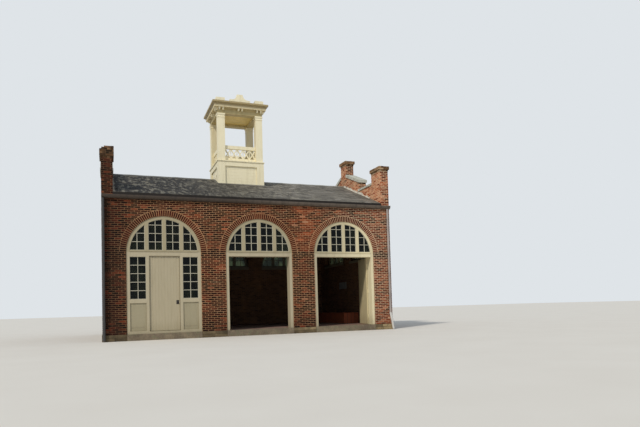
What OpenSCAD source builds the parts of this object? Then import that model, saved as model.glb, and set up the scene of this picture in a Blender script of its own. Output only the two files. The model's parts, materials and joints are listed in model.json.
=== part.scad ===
// Small brick fire station: three arched engine bays, slate gable roof between
// stepped parapets, and a painted timber cupola on the ridge.
// Millimetres, +Z up, front wall faces -Y, origin under the middle of the plan.

/* [Overall] */
// Width across the two gable walls
body_w = 10820; // [10200:10:13000]
// Depth from front wall face to rear wall face
body_d = 7320; // [6900:10:9000]
// Height of the stone base, ground to floor
base_h = 220; // [120:10:400]
// How far the stone base stands out from the brick
base_proj = 15; // [5:1:40]
// Thickness of the brick walls
wall_t = 360; // [330:10:400]
// Height of one brick course with its joint
course_h = 68; // [60:1:80]
// Slate height above the floor where it meets the front wall face
eave_h = 4845; // [4600:5:5400]
// Rise of the slates from wall face to ridge
roof_rise = 1420; // [1200:5:1700]
// Thickness of the roof measured square to the slope
roof_t = 160; // [120:5:200]
// How far the roof runs past the wall face
eave_over = 30; // [20:5:60]

/* [Arched bays] */
// Distance between the centres of neighbouring front bays
bay_pitch = 3390; // [3250:10:3500]
// Distance between the centres of neighbouring rear lunettes
rear_pitch = 3150; // [3050:10:3400]
// Distance of each gable lunette from the middle of the gable
gable_win = 1550; // [1480:10:1700]
// Radius of every arched opening
arch_r = 1250; // [1150:10:1300]
// Height of the arch centres above the floor
spring_h = 2800; // [2600:10:3000]
// Depth of the ring of arch bricks
ring_t = 215; // [150:5:225]

/* [Timber frames] */
// Face width of the jambs and of the arched frame
frame_w = 105; // [95:5:160]
// Depth of the arched frames
frame_d = 100; // [80:5:120]
// Setback of the frames from the brick face
frame_set = 20; // [10:5:40]
// Height of the transom above the floor, to its underside
transom_z = 2670; // [2500:10:2750]
// Height of the transom beam
transom_h = 196; // [160:2:240]
// How far the transom nosing stands out from the transom
nosing = 18; // [10:1:20]
// Face width of the mullions in the fanlights
mullion_w = 120; // [80:5:140]
// Distance between neighbouring mullions
mullion_pitch = 585; // [520:5:600]
// Thickness of the glass
glass_t = 6; // [4:1:10]

/* [Entry bay] */
// Clear width between the posts of the entry door
door_w = 1030; // [900:10:1100]
// Face width of the posts beside the entry door
post_w = 100; // [90:5:150]
// Thickness of the boarded leaves
leaf_t = 45; // [38:1:55]
// Height of the middle rail above the floor, to its underside
rail_z = 1050; // [900:10:1200]
// Height of the middle rail
rail_h = 133; // [100:1:160]
// Height of the bottom rail
kick_h = 100; // [60:5:140]
// Height of the rail over the sidelights
top_rail_h = 30; // [20:5:60]
// Height of the sill board under the entry door
door_sill = 75; // [40:5:100]
// Height of the latch above the floor
latch_z = 1057; // [950:1:1150]

/* [Engine bay leaf] */
// Angle the hinged leaf stands open from closed
leaf_open = 99; // [80:1:105]

/* [Parapets] */
// Depth of the corner piers along the gable
pier_d = 780; // [600:10:900]
// Height of the right-hand corner piers above the floor, under their caps
pier_h = 6160; // [6000:10:6400]
// Height of the left-hand corner piers above the floor, under their caps
left_pier_h = 5980; // [5900:10:6100]
// Height of the low parapet above the floor, under its coping
low_h = 5750; // [5700:10:5850]
// Distance from the middle of the gable to the raised parapet's end
raise_y = 1600; // [1300:10:1900]
// Height of the raised parapet above the slates
raise_h = 515; // [400:5:600]
// Width of the ridge pier along the gable
ridge_pier_w = 600; // [450:10:700]
// Height of the ridge pier above the floor, under its cap
ridge_pier_h = 7220; // [7150:10:7500]
// Thickness of the low coping stones
low_cop_t = 80; // [70:5:120]
// Thickness of the raised coping stones
cop_t = 120; // [100:5:170]
// How far the copings overhang the wall faces
cop_over = 40; // [20:5:60]
// How far the corbelled caps overhang the corner piers
cap_over = 50; // [30:5:70]
// How far the corbelled caps overhang the ridge piers
ridge_cap_over = 60; // [30:5:80]
// Courses in the caps of the right-hand piers and of the right ridge pier
cap_courses = 3; // [3:1:4]
// Courses in the caps of the left-hand piers
cap_courses_left = 6; // [4:1:7]
// Courses left in the cap of the left ridge pier, whose top is lost
ridge_courses_left = 1; // [1:1:3]
// Width of the gap where bricks are lost from the front left cap
lost_w = 150; // [100:10:200]

/* [Rainwater goods] */
// Depth of the gutters from back to lip
gutter_w = 120; // [90:5:140]
// Height of the gutters
gutter_h = 130; // [110:5:200]
// Height of the gutter bottoms above the floor
gutter_z = 4600; // [4450:5:4650]
// Thickness of the gutter metal
gutter_t = 10; // [6:1:14]
// Outside diameter of the downspouts
pipe_d = 84; // [70:2:100]
// Distance of the front left downspout's middle from the gable face
pipe_left = 50; // [49:1:150]
// Distance of the other downspouts' middles from the gable faces
pipe_side = 120; // [100:5:300]
// How far the front right downspout leans out at its foot
pipe_kick = 120; // [0:5:120]
// Height above the floor of the joint over its lower length
pipe_joint_z = 450; // [300:10:600]

/* [Cupola] */
// Width of the cupola base
cup_w = 1930; // [1700:10:2100]
// Height of the cupola base above the floor, under its ledge
cup_z = 6840; // [6600:10:7000]
// Thickness of the ledge
ledge_t = 70; // [50:5:100]
// Overhang of the ledge
ledge_over = 30; // [20:5:60]
// Width of the square corner posts
cup_post = 290; // [220:10:320]
// Height of the corner posts above the ledge
cup_post_h = 1970; // [1700:10:2300]
// Inset of the posts from the ledge edge
post_inset = 55; // [30:5:80]
// Height of the beam over the posts
beam_h = 130; // [110:5:200]
// Height of the frieze with the brackets
frieze_h = 100; // [80:5:140]
// Overhang of the cornice beyond the post faces
cornice_over = 230; // [220:5:300]
// Height of the cornice
cornice_h = 230; // [200:5:260]
// Height of the railing above the ledge
railing_h = 655; // [550:5:800]
// Crossed cells in each railing
cells = 5; // [3:1:7]
// Width of the crossed lattice bars
bar_w = 46; // [30:1:50]
// Width of the uprights between them
upright_w = 26; // [20:1:40]
// Height of the blocks on the cornice
block_h = 185; // [120:5:220]
// Width of the stiles beside the sunk panels of the base
stile_w = 300; // [200:10:400]
// Height of the rail over the sunk panels
head_rail_h = 160; // [100:10:250]
// Depth of the sunk panels
panel_sink = 60; // [20:5:80]
// Thickness of the base's walls
cup_wall_t = 120; // [90:5:200]

/* [Inside] */
// Depth of the bench from front to wall
bench_w = 720; // [500:10:900]
// Length of the bench
bench_l = 3500; // [2000:10:4000]
// Height of the bench
bench_h = 460; // [400:10:550]
// Distance from the middle of the plan to the bench's front end
bench_front = 1220; // [800:10:2000]
// Width of the small plate on the right-hand wall
plate_w = 830; // [400:10:1000]
// Height of that plate
plate_h = 300; // [200:10:500]
// Height of the plate above the floor
plate_z = 1560; // [1200:10:2000]
// Distance from the middle of the plan to the plate
plate_y = 70; // [-500:10:500]

/* [Fits] */
// Gap between curved seats
fit = 0.3; // [0.2:0.1:0.5]
// Gap round the swinging leaves
swing_gap = 8; // [7.5:0.5:12]
// Gap between the knuckles of a hinge
knuckle_gap = 0.3; // [0.2:0.1:0.5]
// Height of each of the three knuckles of a hinge
knuckle_h = 40; // [30:1:50]
// Thickness of the hinge plates
plate_t = 3; // [2:0.5:5]

/* [Hidden] */
$fn = 96;
hw = body_w / 2;
hd = body_d / 2;
zf = base_h;
xi = hw - wall_t;
slope = roof_rise / hd;
roof_v = roof_t * sqrt(1 + slope * slope);
zs = zf + spring_h;
zt = zf + transom_z;
z_glass = zt + transom_h;
in_r = arch_r - frame_w;
front_y = -hd;
bays = [-bay_pitch, 0, bay_pitch];
rears = [-rear_pitch, 0, rear_pitch];
gables = [-gable_win, gable_win];
line_d = wall_t - frame_set;
leaf_y = front_y + frame_set + frame_d;
bay_leaf_w = (2 * in_r - 3 * swing_gap) / 2;
z_ledge = zf + cup_z + ledge_t;
z_beam = z_ledge + cup_post_h;
z_frieze = z_beam + beam_h;
z_cornice = z_frieze + frieze_h;
z_top = z_cornice + cornice_h;
ledge_r = cup_w / 2 + ledge_over;
post_r = ledge_r - post_inset;
post_c = post_r - cup_post / 2;
frieze_in = 20;
door_x = -bay_pitch;
leaf_x = bay_pitch;
leaf_h = transom_z - 2 * swing_gap;
door_h = leaf_h - door_sill;
z_cap_left = zf + left_pier_h + cap_courses_left * course_h;
knuckle_r = swing_gap - 0.5;

// Height of the slates at a distance from the middle of the plan
function slate_z(y) = zf + eave_h + slope * (hd - abs(y));
// Height of the raised parapet at the same place
function raised_z(y) = slate_z(y) + raise_h;
// Middles of the three hinges of a leaf of height h
function hinges(h) = [0.12 * h, 0.5 * h, 0.88 * h];

// How far a cutting shape runs past what it cuts
clear = 10;
// How far the long walls are drawn past the eaves before the roof trims them
over_eave = 200;

// Stands a flat shape drawn in X and Z upright, its front at y0, running back by d
module upright(y0, d) {
    translate([0, y0 + d, 0]) rotate([90, 0, 0]) linear_extrude(d) children();
}

// Stands a flat shape drawn in Y and Z upright across X, from x0 over a length w
module across(x0, w) {
    translate([x0, 0, 0]) rotate([90, 0, 90]) linear_extrude(w) children();
}

// Places a child on the four sides of the cupola
module four_sides() {
    for (a = [0, 90, 180, 270]) rotate([0, 0, a]) children();
}

// Square moulding with mitred corners from one symmetric profile
module mitred(span) {
    intersection() {
        rotate([90, 0, 0]) linear_extrude(span, center = true) children();
        rotate([90, 0, 90]) linear_extrude(span, center = true) children();
    }
}

// Symmetric bar of a moulding profile: half width r, from z0 to z1
module band(r, z0, z1) {
    translate([-r, z0]) square([2 * r, z1 - z0]);
}

// Half disc on the springing line
module half_disc(c, r) {
    intersection() {
        translate([c, zs]) circle(r);
        translate([c - r - 10, zs]) square([2 * r + 20, r + 10]);
    }
}

// Opening in a wall for a brick ring and the straight part down to the sill
module arch_hole(c, z0) {
    half_disc(c, arch_r + ring_t + fit);
    translate([c - arch_r, z0]) square([2 * arch_r, zs - z0 + 1]);
}

// Ring of arch bricks
module arch_ring(c) {
    difference() {
        half_disc(c, arch_r + ring_t);
        translate([c, zs]) circle(arch_r);
    }
}

// Glazed lights of one fanlight; g shrinks them to the glass
module lights(c, g) {
    difference() {
        intersection() {
            translate([c, zs]) circle(in_r - g);
            translate([c - in_r, z_glass + g]) square([2 * in_r, 2 * in_r]);
        }
        for (k = [-1, 0, 1])
            translate([c + k * mullion_pitch - mullion_w / 2 - g, z_glass])
                square([mullion_w + 2 * g, 2 * in_r]);
    }
}

// Arched frame with its mullions and bottom rail, facing y0
module fan_frame(c, y0) {
    upright(y0 + frame_set, frame_d) difference() {
        half_disc(c, arch_r - fit);
        lights(c, 0);
    }
    nosing_h = 40;
    below_glass = 10;
    tenon = 5;
    translate([c - in_r, y0 + frame_set - nosing, z_glass - below_glass - nosing_h])
        cube([2 * in_r, nosing + tenon, nosing_h]);
}

// Beam under an arched frame, through the thickness of the wall, facing y0
module transom(c, y0) {
    translate([c - arch_r, y0 + frame_set, zt]) cube([2 * arch_r, line_d, zs - zt]);
}

// Outline of the whole roof in Y and Z, thickened downward by roof_v
module roof_outline(s) {
    e = hd + eave_over;
    z_e = zf + eave_h - slope * eave_over;
    polygon([[0, slate_z(0)], [s * e, z_e], [s * e, z_e - roof_v], [0, slate_z(0) - roof_v]]);
}

// Everything above the underside of the roof, to trim the long walls
module above_soffit() {
    past = 500;
    sky = 4000;
    e = hd + past;
    z_e = zf + eave_h - slope * past - roof_v;
    across(-xi - clear, 2 * (xi + clear))
        polygon([[-e, z_e], [0, slate_z(0) - roof_v], [e, z_e], [e, z_e + sky], [-e, z_e + sky]]);
}

// Everything below the slates within w of the middle of the front, to seat on them
// what stands on the roof or overhangs it
module below_slates(w) {
    e = hd;
    across(-w, 2 * w)
        polygon([[-e, slate_z(e)], [0, slate_z(0)], [e, slate_z(e)], [e, 0], [-e, 0]]);
}

module stone_base() {
    color("#8f8a80") difference() {
        translate([-hw - base_proj, -hd - base_proj, 0])
            cube([body_w + 2 * base_proj, body_d + 2 * base_proj, base_h]);
        translate([-xi, -hd + wall_t, -clear])
            cube([2 * xi, body_d - 2 * wall_t, base_h + 2 * clear]);
        for (c = bays)
            translate([c - arch_r, -hd - base_proj - clear, -clear])
                cube([2 * arch_r, wall_t + base_proj + 2 * clear, base_h + 2 * clear]);
    }
}

module floor_slab() {
    color("#a08778") translate([-xi, -hd + wall_t, 0]) cube([2 * xi, body_d - 2 * wall_t, base_h]);
}

module thresholds() {
    color("#aaa79c") for (c = bays)
        translate([c - arch_r, -hd - 2 * base_proj, 0])
            cube([2 * arch_r, wall_t + 2 * base_proj, base_h]);
}

module front_piers() {
    color("#9a5a46") {
        for (s = [-1, 1]) {
            w_out = xi - bay_pitch - arch_r;
            translate([s * (xi - w_out / 2) - w_out / 2, -hd, zf]) cube([w_out, wall_t, spring_h]);
            w_in = bay_pitch - 2 * arch_r;
            translate([s * bay_pitch / 2 - w_in / 2, -hd, zf]) cube([w_in, wall_t, spring_h]);
        }
    }
}

module front_spandrel() {
    color("#9a5a46") difference() {
        upright(-hd, wall_t) difference() {
            translate([-xi, zs]) square([2 * xi, eave_h - spring_h + over_eave]);
            for (c = bays) half_disc(c, arch_r + ring_t + fit);
        }
        above_soffit();
    }
}

module front_arch_rings() {
    color("#8d4f3d") for (c = bays) upright(-hd, wall_t) arch_ring(c);
}

module rear_wall() {
    color("#9a5a46") difference() {
        upright(hd - wall_t, wall_t) difference() {
            translate([-xi, zf]) square([2 * xi, eave_h + over_eave]);
            for (c = rears) arch_hole(c, zt);
        }
        above_soffit();
    }
}

// Outline of a gable with corner piers of height h: low parapets, raised sloping
// parapets, ridge pier
module gable_outline(h) {
    half = [[-hd, zf], [-hd, zf + h], [-hd + pier_d, zf + h],
            [-hd + pier_d, zf + low_h], [-raise_y, zf + low_h], [-raise_y, raised_z(raise_y)],
            [-ridge_pier_w / 2, raised_z(ridge_pier_w / 2)],
            [-ridge_pier_w / 2, zf + ridge_pier_h]];
    other = [for (k = [len(half) - 1:-1:0]) [-half[k][0], half[k][1]]];
    polygon(concat(half, other));
}

module gable_wall(s) {
    across(s > 0 ? xi : -hw, wall_t) difference() {
        gable_outline(s > 0 ? pier_h : left_pier_h);
        for (c = gables) arch_hole(c, zt);
    }
}

module gable_left() {
    color("#9a5a46") gable_wall(-1);
}

module gable_right() {
    color("#9a5a46") gable_wall(1);
}

module lunette_rings() {
    color("#8d4f3d") {
        for (c = rears) upright(hd - wall_t, wall_t) arch_ring(c);
        for (s = [-1, 1], c = gables) across(s > 0 ? xi : -hw, wall_t) arch_ring(c);
    }
}

// Corbelled brick cap of n courses on a pier of size wx by wy: a low step, then the slab
module cap(cx, cy, wx, wy, z0, over, n) {
    for (k = [0:n - 1]) {
        o = k == 0 ? over / 4 : over;
        translate([cx - wx / 2 - o, cy - wy / 2 - o, z0 + k * course_h])
            cube([wx + 2 * o, wy + 2 * o, course_h]);
    }
}

module pier_caps() {
    xc = hw - wall_t / 2;
    yc = hd - pier_d / 2;
    color("#945642") {
        for (sx = [-1, 1], sy = [-1, 1])
            difference() {
                if (sx > 0) cap(xc, sy * yc, wall_t, pier_d, zf + pier_h, cap_over, cap_courses);
                else cap(-xc, sy * yc, wall_t, pier_d, zf + left_pier_h, cap_over, cap_courses_left);
                if (sx < 0 && sy < 0)
                    translate([-hw - cap_over - clear, -hd - cap_over - clear, z_cap_left - 2 * course_h])
                        cube([lost_w + clear, pier_d / 2, 2 * course_h + clear]);
            }
        for (sx = [-1, 1])
            cap(sx * xc, 0, wall_t, ridge_pier_w, zf + ridge_pier_h, ridge_cap_over,
                sx > 0 ? cap_courses : ridge_courses_left);
    }
}

module copings() {
    x0 = xi - cop_over;
    w = wall_t + 2 * cop_over;
    y1 = ridge_pier_w / 2;
    y2 = raise_y + cop_over;
    color("#b5b1a6") difference() {
        for (sx = [-1, 1], sy = [-1, 1]) translate([sx > 0 ? x0 : -x0 - w, 0, 0]) {
            y_low = hd - pier_d - raise_y;
            translate([0, sy > 0 ? raise_y : -raise_y - y_low, zf + low_h])
                cube([w, y_low, low_cop_t]);
            across(0, w) polygon([[sy * y1, raised_z(y1)], [sy * y2, raised_z(y2)],
                                  [sy * y2, raised_z(y2) + cop_t], [sy * y1, raised_z(y1) + cop_t]]);
        }
        below_slates(xi);
    }
}

module roof_front() {
    color("#5c6066") across(-xi, 2 * xi) roof_outline(-1);
}

module roof_rear() {
    color("#5c6066") across(-xi, 2 * xi) roof_outline(1);
}

// Section of a gutter: flat back, round belly, moulded lip; g shrinks it to the trough
module gutter_section(g) {
    r = gutter_w - g;
    intersection() {
        translate([-gutter_w + g, g]) square([gutter_w - 2 * g, gutter_h]);
        union() {
            translate([-g, gutter_w]) circle(r - g);
            translate([-gutter_w, gutter_w]) square([gutter_w, gutter_h]);
        }
    }
}

module gutters() {
    color("#6b5d52") for (s = [-1, 1]) {
        rotate([0, 0, s > 0 ? 180 : 0]) translate([0, -hd - eave_over, zf + gutter_z])
            difference() {
                across(-hw, body_w) intersection() {
                    gutter_section(0);
                    translate([-gutter_w, 0]) square([gutter_w, gutter_h]);
                }
                across(-hw + gutter_t, body_w - 2 * gutter_t) gutter_section(gutter_t);
            }
    }
}

// One downspout with its wall bands and a lower length leaning out by kick
module downspout(x, kick) {
    y = -hd - eave_over - gutter_w / 2;
    socket = 8;
    band_d = 14;
    band_h = 40;
    foot = 30;
    z1 = zf + pipe_joint_z;
    run = sqrt(kick * kick + (z1 - foot) * (z1 - foot));
    translate([x, y, z1]) cylinder(d = pipe_d, h = zf + gutter_z - z1);
    translate([x, y, z1]) sphere(d = pipe_d + socket);
    translate([x, y, z1]) rotate([0, 180 - atan2(kick, z1 - foot), 0])
        cylinder(d = pipe_d + socket, h = run);
    for (z = [zf + 900, zf + 2400, zf + 3900])
        translate([x, y, z]) {
            cylinder(d = pipe_d + band_d, h = band_h);
            translate([-band_h / 2, 0, 0]) cube([band_h, gutter_w / 2 + eave_over, band_h]);
        }
}

module downspouts() {
    color("#77787a") {
        downspout(-hw + pipe_left, 0);
        downspout(hw - pipe_side, pipe_kick);
        rotate([0, 0, 180]) {
            downspout(-hw + pipe_side, 0);
            downspout(hw - pipe_side, 0);
        }
    }
}

module front_fanlights() {
    color("#e2d8bd") for (c = bays) fan_frame(c, -hd);
}

module front_transoms() {
    color("#ddd3b8") for (c = bays) transom(c, -hd);
}

module front_fanlight_glass() {
    color("#5f6a68") for (c = bays)
        upright(-hd + frame_set + frame_d / 2, glass_t) lights(c, fit);
}

// Runs a child drawn for the front wall on each rear and gable lunette in turn
module each_lunette() {
    for (c = rears) rotate([0, 0, 180]) translate([c, 0, 0]) children(0);
    for (s = [-1, 1], c = gables) rotate([0, 0, s * 90]) translate([c, 0, 0]) children(1);
}

module lunette_frames() {
    color("#e2d8bd") each_lunette() {
        fan_frame(0, -hd);
        fan_frame(0, -hw);
    }
}

module lunette_sills() {
    color("#ddd3b8") each_lunette() {
        transom(0, -hd);
        transom(0, -hw);
    }
}

module lunette_glass() {
    color("#5f6a68") each_lunette() {
        upright(-hd + frame_set + frame_d / 2, glass_t) lights(0, fit);
        upright(-hw + frame_set + frame_d / 2, glass_t) lights(0, fit);
    }
}

module jamb_linings() {
    color("#e2d8bd") {
        for (c = bays, s = [-1, 1])
            translate([c + s * (arch_r - frame_w / 2) - frame_w / 2, -hd + frame_set, zf])
                cube([frame_w, line_d, transom_z]);
        translate(engine_axis) mirror([1, 0, 0]) fixed_knuckles(leaf_h);
    }
}

// Post, rails and sunk panel with its low bead, between the entry door and one jamb
module side_frame(s) {
    panel_set = 35;
    panel_t = 30;
    bead = 10;
    bead_z = 115;
    x1 = door_w / 2;
    x2 = in_r;
    y0 = -hd + frame_set;
    w = x2 - x1 - post_w;
    translate([door_x, 0, 0]) {
        translate([s * (x1 + post_w / 2) - post_w / 2, y0, zf]) cube([post_w, frame_d, transom_z]);
        translate([s * (x2 - w / 2) - w / 2, y0, 0]) {
            translate([0, 0, zf]) cube([w, frame_d, kick_h]);
            translate([0, panel_set, zf + kick_h]) cube([w, panel_t, rail_z - kick_h]);
            translate([0, panel_set - bead, zf + kick_h + bead_z]) cube([w, bead, bead]);
            translate([0, 0, zf + rail_z]) cube([w, frame_d, rail_h]);
            translate([0, 0, zt - top_rail_h]) cube([w, frame_d, top_rail_h]);
        }
    }
}

// Side frames, and between them a sill board that rests on the threshold
module entry_frame() {
    color("#e2d8bd") {
        for (s = [-1, 1]) side_frame(s);
        translate([door_x - door_w / 2 + fit, -hd + frame_set, zf])
            cube([door_w - 2 * fit, frame_d, door_sill]);
        translate(entry_axis) fixed_knuckles(door_h);
    }
}

module sidelight_glass() {
    w = in_r - door_w / 2 - post_w;
    z0 = zf + rail_z + rail_h;
    color("#5f6a68") for (s = [-1, 1])
        translate([door_x + s * (in_r - w / 2) - w / 2 + fit, -hd + frame_set + frame_d / 2, z0 + fit])
            cube([w - 2 * fit, glass_t, zt - top_rail_h - z0 - 2 * fit]);
}

// Fixed knuckles of a leaf of height h on the Z axis, with plates reaching back to the left
module fixed_knuckles(h) {
    plate_l = 50;
    for (z = hinges(h), k = [-1.5, 0.5])
        translate([0, 0, z + k * knuckle_h]) {
            cylinder(r = knuckle_r, h = knuckle_h);
            translate([-swing_gap - plate_l, 0, 0]) cube([swing_gap + plate_l, plate_t, knuckle_h]);
        }
}

// Boarded leaf of size w by h hung on the Z axis at its left edge, its inner face at
// y = 0 with ledges behind it, notched for the fixed knuckles
module boarded_leaf(w, h) {
    ledge_in = 80;
    ledge_h = 120;
    ledge_d = 25;
    housed = 5;
    difference() {
        translate([0, -leaf_t, 0]) cube([w, leaf_t, h]);
        for (z = hinges(h), k = [-1.5, 0.5])
            translate([0, 0, z + k * knuckle_h - knuckle_gap])
                cylinder(r = swing_gap, h = knuckle_h + 2 * knuckle_gap);
    }
    for (z = hinges(h)) {
        translate([0, 0, z - knuckle_h / 2 + knuckle_gap])
            cylinder(r = knuckle_r, h = knuckle_h - 2 * knuckle_gap);
        translate([ledge_in, -housed, z - ledge_h / 2])
            cube([w - 2 * ledge_in, ledge_d + housed, ledge_h]);
    }
}

// Foot of the hinge line of the entry door, and that of the leaf in the right-hand bay
entry_axis = [door_x - door_w / 2 + swing_gap, leaf_y, zf + door_sill + swing_gap];
engine_axis = [leaf_x + in_r - swing_gap, -hd + wall_t, zf + swing_gap];

module entry_door() {
    color("#ddd2b6") translate(entry_axis) boarded_leaf(door_w - 2 * swing_gap, door_h);
}

module entry_latch() {
    from_edge = 85;
    plate = [90, 8, 140];
    translate([door_x + door_w / 2 - from_edge, leaf_y - leaf_t - plate[1], zf + latch_z])
        color("#2b2b2b") {
            translate([-plate[0] / 2, 0, -plate[2] / 2]) cube(plate);
            rotate([90, 0, 0]) rotate_extrude()
                polygon([[0, 0], [11, 0], [11, 18], [27, 24], [27, 36], [15, 44], [0, 44]]);
        }
}

// Leaf in the right-hand bay, swung in about the inner corner of its jamb
module bay_leaf() {
    color("#cdc3a8") translate(engine_axis)
        rotate([0, 0, -leaf_open]) mirror([1, 0, 0]) boarded_leaf(bay_leaf_w, leaf_h);
}

module cupola_base() {
    r = cup_w / 2;
    deck = 60;
    inner = cup_w - 2 * cup_wall_t;
    color("#ded6bd") difference() {
        translate([-r, -r, zf + eave_h]) cube([cup_w, cup_w, cup_z - eave_h]);
        translate([-inner / 2, -inner / 2, zf]) cube([inner, inner, cup_z - deck]);
        four_sides() translate([-r + stile_w, -r - clear, zf])
            cube([cup_w - 2 * stile_w, panel_sink + clear, cup_z - head_rail_h]);
        below_slates(cup_w);
    }
}

// Three steps, each under and behind the one above
module cupola_ledge() {
    lip = 35;
    bead = 15;
    bead_in = 16;
    lap = 5;
    z1 = zf + cup_z + ledge_t;
    color("#e2d8bd") mitred(2 * (ledge_r + clear)) {
        band(ledge_r, z1 - lip, z1);
        band(ledge_r - bead_in, z1 - lip - bead, z1 - lip + lap);
        band(cup_w / 2, zf + cup_z, z1 - lip - lap);
    }
}

// Square posts with a neck moulding and a hollowed capital
module cupola_posts() {
    r = cup_post / 2;
    shaft_end = 160;
    cap_h = 75;
    cap_out = 20;
    neck_out = 14;
    neck_h = 20;
    neck_z = z_beam - 165;
    lap = 10;
    color("#e6ddc4") for (sx = [-1, 1], sy = [-1, 1])
        translate([sx * post_c, sy * post_c, 0]) {
            translate([-r, -r, z_ledge]) cube([cup_post, cup_post, cup_post_h - shaft_end]);
            mitred(2 * (r + cap_out + clear)) difference() {
                union() {
                    band(r, z_beam - shaft_end - lap, z_beam - cap_h + cap_out - lap / 2);
                    band(r + neck_out, neck_z, neck_z + neck_h);
                    band(r + cap_out, z_beam - cap_h, z_beam);
                }
                for (s = [-1, 1]) translate([s * (r + cap_out), z_beam - cap_h]) circle(cap_out);
            }
        }
}

// One side of the railing: crossed bars in cells between uprights, under a hand rail
module railing() {
    span = 2 * (post_c - cup_post / 2);
    cell = span / cells;
    foot_z = 35;
    foot_w = 70;
    hand_w = 100;
    z0 = 130;
    z1 = railing_h - 140;
    sunk = 12;
    rise = z1 - z0 + 2 * sunk;
    lean = atan2(rise, cell);
    run = sqrt(cell * cell + rise * rise);
    translate([-span / 2, -foot_w / 2, foot_z]) cube([span, foot_w, z0 - foot_z]);
    translate([-span / 2, -hand_w / 2, z1]) cube([span, hand_w, railing_h - z1]);
    upright(-bar_w / 2, bar_w) intersection() {
        translate([-span / 2, z0 - 2 * sunk]) square([span, z1 - z0 + 4 * sunk]);
        union() {
            for (k = [0:cells - 1], s = [-1, 1])
                translate([-span / 2 + (k + 0.5) * cell, (z0 + z1) / 2]) rotate(s * lean)
                    translate([-run, -bar_w / 2]) square([2 * run, bar_w]);
            for (k = [0:cells])
                translate([-span / 2 + k * cell - upright_w / 2, z0 - 3 * sunk])
                    square([upright_w, z1 - z0 + 6 * sunk]);
        }
    }
}

module cupola_railings() {
    color("#d9cfb4") four_sides() translate([0, -post_c, z_ledge]) railing();
}

// Beams over the posts with the frieze on them, hollow below a flat ceiling
module cupola_beam() {
    hole = post_c - cup_post / 2;
    ceiling_t = 30;
    frieze_r = post_r - frieze_in;
    color("#dfd6bd") difference() {
        union() {
            translate([-post_r, -post_r, z_beam]) cube([2 * post_r, 2 * post_r, beam_h]);
            translate([-frieze_r, -frieze_r, z_frieze - 1])
                cube([2 * frieze_r, 2 * frieze_r, frieze_h + 1]);
        }
        translate([-hole, -hole, z_beam - clear])
            cube([2 * hole, 2 * hole, beam_h + clear - ceiling_t]);
    }
}

// Hollowed bracket in Y and Z: face on the frieze, top under the cornice
module bracket() {
    bracket_w = 64;
    foot = 2;
    hollow = 0.45 * frieze_h;
    d = cornice_over - 100;
    y1 = frieze_in - post_r;
    translate([-bracket_w / 2, 0, 0]) across(0, bracket_w) difference() {
        translate([y1 - d, z_frieze + foot]) square([d, frieze_h - foot]);
        translate([y1 - d, z_frieze + foot]) circle(hollow);
    }
}

// Pairs of brackets over the posts and over the middle of each side
module cupola_brackets() {
    apart = 75;
    color("#d6c99f") four_sides() for (c = [-post_c, 0, post_c], s = [-1, 1])
        translate([c + s * apart, 0, 0]) bracket();
}

// Cornice: a soffit block behind a plain fascia, and a crown hollowed out of its front
module cupola_cornice() {
    r = post_r + cornice_over;
    fascia_h = 80;
    hollow = 80;
    step = 8;
    color("#b7ab8e") mitred(2 * (r + clear)) difference() {
        union() {
            band(r - hollow - step, z_cornice, z_cornice + fascia_h + step);
            band(r, z_cornice + fascia_h, z_top);
        }
        for (s = [-1, 1]) translate([s * r, z_cornice + fascia_h]) circle(hollow);
    }
}

// Block over the centre of each cornice side, sweeping up hollow to a raised middle
module centre_block() {
    deep = 240;
    out = 60;
    half = 430;
    foot = block_h - 40;
    crown = block_h + 185;
    crown_half = 120;
    hollow = crown - foot;
    upright(-post_r - out, deep) {
        translate([-half, z_top]) square([2 * half, foot]);
        difference() {
            translate([-crown_half - hollow, z_top]) square([2 * (crown_half + hollow), crown]);
            for (s = [-1, 1]) translate([s * (crown_half + hollow), z_top + crown]) circle(hollow);
        }
    }
}

module cupola_blocks() {
    corner = 360;
    corner_in = 120;
    color("#e8e0c9") {
        for (sx = [-1, 1], sy = [-1, 1])
            translate([sx * (post_r - corner_in) - corner / 2, sy * (post_r - corner_in) - corner / 2,
                       z_top])
                cube([corner, corner, block_h]);
        four_sides() centre_block();
    }
}

// Boxed bench under a seat board that overhangs it
module bench() {
    seat_t = 40;
    seat_over = 20;
    color("#6d4a3a") translate([xi - bench_w, -bench_front, zf]) {
        translate([seat_over, seat_over, 0])
            cube([bench_w - seat_over, bench_l - 2 * seat_over, bench_h - seat_t]);
        translate([0, 0, bench_h - seat_t]) cube([bench_w, bench_l, seat_t]);
    }
}

module wall_plate() {
    plate_d = 15;
    color("#7c7c78") translate([xi - plate_d, plate_y, zf + plate_z])
        cube([plate_d, plate_w, plate_h]);
}

stone_base();
floor_slab();
thresholds();
front_piers();
front_spandrel();
front_arch_rings();
rear_wall();
gable_left();
gable_right();
lunette_rings();
pier_caps();
copings();
roof_front();
roof_rear();
gutters();
downspouts();
front_fanlights();
front_fanlight_glass();
front_transoms();
lunette_frames();
lunette_glass();
lunette_sills();
jamb_linings();
entry_frame();
sidelight_glass();
entry_door();
entry_latch();
bay_leaf();
cupola_base();
cupola_ledge();
cupola_posts();
cupola_railings();
cupola_beam();
cupola_brackets();
cupola_cornice();
cupola_blocks();
bench();
wall_plate();
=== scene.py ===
"""Looks of a small brick fire station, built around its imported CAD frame.

The walls are laid brick by brick and the roof slate by slate. Sashes, boards, stones,
lead and paint dress the frame's own nodes. Metres, +Z up, the front wall faces -Y.
"""

import json
import logging
import math
from dataclasses import dataclass, field
from enum import Enum

import bmesh
import bpy
import numpy as np
from mathutils import Matrix, Vector

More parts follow.
